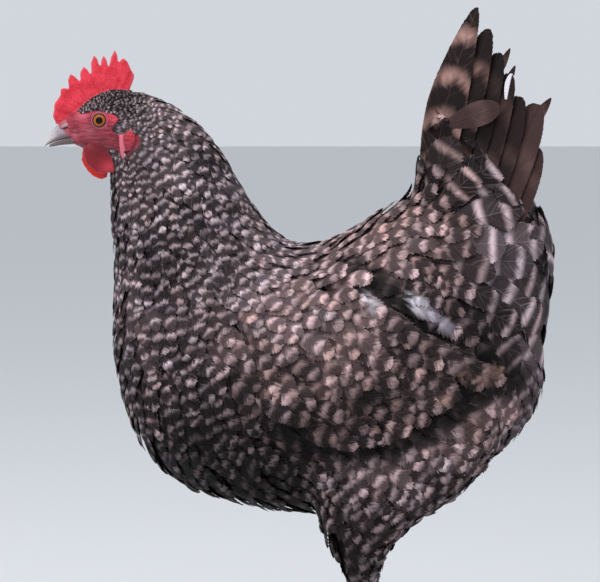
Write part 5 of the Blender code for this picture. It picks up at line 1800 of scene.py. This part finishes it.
class HenHead(bpy.types.PropertyGroup):
    """Sizes and colours of the head."""
    eye: amount("Eye radius", "Radius of the eyeball", 0.0066, "LENGTH")
    lid: amount("Lid opening", "Radius of the round opening of the lids", 0.0050, "LENGTH")
    pupil: amount("Pupil", "Radius of the pupil", 0.0025, "LENGTH")
    iris: paint("Iris", "Orange of the iris", 0.62, 0.17, 0.025)
    lid_skin: paint("Lids", "Lilac pink of the lids", 0.40, 0.16, 0.22)
    face: paint("Face", "Crimson of the bare face", 0.34, 0.035, 0.060)
    # the pink of the face's grain and of the bill's root, also painted as a highlight on the tops
    # of the folds
    face_pale: paint("Face, pale", "Pink tops of the folds", 0.60, 0.105, 0.145)
    comb: paint("Comb", "Bright red of the comb", 0.80, 0.045, 0.075)
    comb_deep: paint("Comb, deep", "Deeper red patches of the comb", 0.60, 0.020, 0.040)
    # painted highlight on the tops of the comb's pebbles
    comb_highlight: paint("Comb, pale", "Pink tops of the pebbled comb", 0.88, 0.16, 0.20)
    # the left wattle's red darkened with painted shade, the right one's brightened with painted
    # light
    wattle: paint("Left wattle", "Dark red of the left wattle", 0.22, 0.010, 0.018)
    lit_wattle: paint("Right wattle", "Bright red of the right one", 0.78, 0.030, 0.020)
    # painted highlight on the rims of comb and left wattle, and the lobes' own pink
    rim: paint("Rim", "Pink of the lobes and wattle rims", 0.66, 0.20, 0.26)
    bill: paint("Bill", "Grey horn of the bill", 0.38, 0.31, 0.38)
    bill_tip: paint("Bill tip", "Pale tip of the bill", 0.70, 0.64, 0.64)


class HenLegs(bpy.types.PropertyGroup):
    """Colours of the legs."""
    scale: paint("Scales", "Pinkish white of the scales", 0.60, 0.45, 0.39)
    claw: paint("Claws", "Pale horn of the claws", 0.55, 0.45, 0.38)


class HenStage(bpy.types.PropertyGroup):
    """Floor, lights and camera."""
    floor: paint("Floor", "Colour of the floor", 0.72, 0.73, 0.74)
    top_light: amount("Top light", "Power of the large light overhead", 34.0, "POWER")
    fill_light: amount("Fill light", "Power of the light by the camera", 7.0, "POWER")
    distance: amount("Distance", "From the camera to the hen", 2.6, "LENGTH")
    height: amount("Aim height", "Height that the camera looks at", 0.3032, "LENGTH")
    elevation: FloatProperty(name="Elevation", description="How far the camera looks down",
                             default=math.radians(4.0), subtype="ANGLE", unit="ROTATION")
    lens: FloatProperty(name="Lens", description="Focal length in millimetres", default=205.0,
                        min=20.0)


# ---------------- operators
CLAW_GROWTH = 0.0001
# barred finishes: start and width of a pale bar, curve of the bars, darkness and raggedness
# towards the edge, lace and roughness
BARRED = {
    "crown": (0.20, 0.34, 0.0, 0.4, 1.0, 0.2, 0.7),
    "hackle": (0.25, 0.28, -0.05, 0.6, 1.1, 0.75, 0.6),
    "body": (0.20, 0.24, -0.08, 0.85, 1.2, 0.3, 0.65),
    "wing": (0.12, 0.34, -0.10, 0.75, 1.2, 0.5, 0.6),
    "coverts": (0.30, 0.22, -0.03, 0.2, 0.45, 0.2, 0.6),
    "thigh": (0.18, 0.36, -0.06, 0.6, 1.2, 0.3, 0.65),
    "tail": (0.0, 0.30, 0.05, 0.1, 0.40, 0.2, 0.55),
}
FLOOR = 15.0  # half the side of the floor
TOP_LIGHT = ((0.7, -0.5, 2.3), 2.2)  # place and size
FILL_LIGHT = ((2.3, -1.3, 0.9), 2.0)
SKY, SKY_STRENGTH = (0.80, 0.84, 0.90), 0.80


class HEN_OT_skin(bpy.types.Operator):
    """Build the one skin of body, head, comb, wattles and legs"""
    bl_idname = "hen.skin"
    bl_label = "Skin"

    def execute(self, context):
        mesh = united(under_coat(), face_lump(), leg_lump())
        mesh.name = "skin"
        points, triangles = largest_part(*arrays(mesh))
        obj = add_mesh("skin", points, triangles, skin_finish())
        paint_skin(obj.data)
        bpy.data.meshes.remove(mesh)
        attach(obj, BODY)
        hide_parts(*FLESH, *RED_PARTS, *LEGS)
        return {"FINISHED"}


class HEN_OT_eyes(bpy.types.Operator):
    """Build both eyes"""
    bl_idname = "hen.eyes"
    bl_label = "Eyes"

    def execute(self, context):
        for side, sign in SIDES:
            obj = eye_piece(side, sign)
            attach(obj, BODY)
            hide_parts("eye_" + side)
        return {"FINISHED"}


class HEN_OT_bill(bpy.types.Operator):
    """Build the two halves of the bill"""
    bl_idname = "hen.bill"
    bl_label = "Bill"

    def execute(self, context):
        horn = bill_finish()
        for part, rows in (("upper", UPPER_BILL), ("lower", LOWER_BILL)):
            obj = bill_piece("bill_horn_" + part, rows, part == "upper", horn)
            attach(obj, BODY)
            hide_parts("bill_" + part)
        return {"FINISHED"}


class HEN_OT_claws(bpy.types.Operator):
    """Build the claws of both feet, rounded from their solids"""
    bl_idname = "hen.claws"
    bl_label = "Claws"

    def execute(self, context):
        horn = claw_finish()
        for side, _ in SIDES:
            nodes = ["%s_%s" % (claw, side) for claw in CLAWS]
            mesh = bpy.data.meshes.new("claws")
            bm = node_copy(nodes, CLAW_GROWTH)
            bm.to_mesh(mesh)
            bm.free()
            mesh = modified(mesh, ("SUBSURF", {"levels": 2}))
            points, _, triangles = arrays(mesh)
            bpy.data.meshes.remove(mesh)
            obj = add_mesh("claws_" + side, points, triangles, horn)
            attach(obj, BODY)
            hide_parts(*nodes)
        return {"FINISHED"}


class HEN_OT_scales(bpy.types.Operator):
    """Build the horny scales of both legs"""
    bl_idname = "hen.scales"
    bl_label = "Leg scales"

    def execute(self, context):
        material = scale_finish()
        for side, sign in SIDES:
            obj = scale_piece(side, sign, material)
            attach(obj, BODY)
        return {"FINISHED"}


class HEN_OT_plumage(bpy.types.Operator):
    """Build the body feathers, one piece for each kind and side"""
    bl_idname = "hen.plumage"
    bl_label = "Plumage"

    def execute(self, context):
        finishes = {name: feather_finish("plumage_" + name, *settings)
                    for name, settings in BARRED.items() if name != "tail"}
        for name, kinds in COATS:
            material = finishes.get("wing" if name == "back" else name, finishes["body"])
            for side, sign in SIDES:
                obj = coat_piece(name, kinds, side, sign, material)
                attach(obj, BODY)
        return {"FINISHED"}


class HEN_OT_tail(bpy.types.Operator):
    """Build the main tail feathers"""
    bl_idname = "hen.tail"
    bl_label = "Tail"

    def execute(self, context):
        material = feather_finish("plumage_tail", *BARRED["tail"])
        for side, sign in SIDES:
            obj = tail_piece(side, sign, material)
            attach(obj, BODY)
            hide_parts(*("tail_feather_%d_%s" % (n + 1, side) for n in range(len(TAIL))))
        return {"FINISHED"}


def soft_light(name, place, size, power, aim):
    """A large round light that faces the hen."""
    lamp = bpy.data.lights.new(name, "AREA")
    lamp.shape = "DISK"
    lamp.size = size
    lamp.energy = power
    obj = bpy.data.objects.new(name, lamp)
    link(obj)
    obj.location = place
    obj.rotation_euler = (aim - Vector(place)).to_track_quat("-Z", "Y").to_euler()


class HEN_OT_stage(bpy.types.Operator):
    """Build the floor, the lights and the camera"""
    bl_idname = "hen.stage"
    bl_label = "Stage"

    def execute(self, context):
        stage = context.scene.hen_stage
        mesh = bpy.data.meshes.new("floor")
        corners = ((-1, -1), (1, -1), (1, 1), (-1, 1))
        mesh.from_pydata([(x * FLOOR, y * FLOOR, 0) for x, y in corners], [], [(0, 1, 2, 3)])
        f = Finish("floor_paint")
        mesh.materials.append(f.finish(Base_Color=stage.floor, Roughness=0.9))
        floor = bpy.data.objects.new("floor", mesh)
        link(floor)
        aim = Vector((0, 0, stage.height))
        soft_light("top_light", *TOP_LIGHT, stage.top_light, aim)
        soft_light("fill_light", *FILL_LIGHT, stage.fill_light, aim)
        world = bpy.data.worlds.new("studio")
        world.use_nodes = True
        sky = world.node_tree.nodes["Background"]
        sky.inputs["Color"].default_value = (*SKY, 1.0)
        sky.inputs["Strength"].default_value = SKY_STRENGTH
        context.scene.world = world
        context.scene.view_settings.view_transform = "Standard"
        lens = bpy.data.cameras.new("camera")
        lens.lens = stage.lens
        lens.sensor_width = 36.0
        camera = bpy.data.objects.new("camera", lens)
        link(camera)
        away = Vector((math.cos(stage.elevation), 0, math.sin(stage.elevation)))
        camera.location = aim + away * stage.distance
        camera.rotation_euler = (-away).to_track_quat("-Z", "Y").to_euler()
        bpy.context.scene.camera = camera
        return {"FINISHED"}


OPERATORS = (HEN_OT_skin, HEN_OT_eyes, HEN_OT_bill, HEN_OT_claws, HEN_OT_scales,
             HEN_OT_plumage, HEN_OT_tail, HEN_OT_stage)
SETTINGS = (("hen_plumage", HenPlumage), ("hen_head", HenHead), ("hen_legs", HenLegs),
            ("hen_stage", HenStage))


class HEN_PT_panel(bpy.types.Panel):
    """The hen's settings and the buttons that build it"""
    bl_label = "Barred hen"
    bl_idname = "HEN_PT_panel"
    bl_space_type = "VIEW_3D"
    bl_region_type = "UI"
    bl_category = "Hen"

    def draw(self, context):
        for name, group in SETTINGS:
            box = self.layout.box()
            box.label(text=group.__doc__)
            for key in group.__annotations__:
                box.prop(getattr(context.scene, name), key)
        for operator in OPERATORS:
            self.layout.operator(operator.bl_idname)


def register():
    for name, group in SETTINGS:
        bpy.utils.register_class(group)
        setattr(bpy.types.Scene, name, PointerProperty(type=group))
    for cls in (*OPERATORS, HEN_PT_panel):
        bpy.utils.register_class(cls)


def unregister():
    for cls in (HEN_PT_panel, *reversed(OPERATORS)):
        bpy.utils.unregister_class(cls)
    for name, group in reversed(SETTINGS):
        delattr(bpy.types.Scene, name)
        bpy.utils.unregister_class(group)


def main():
    """Builds everything in order."""
    register()
    bpy.ops.hen.skin()
    bpy.ops.hen.eyes()
    bpy.ops.hen.bill()
    bpy.ops.hen.claws()
    bpy.ops.hen.scales()
    bpy.ops.hen.plumage()
    bpy.ops.hen.tail()
    bpy.ops.hen.stage()


if __name__ == "__main__":
    main()
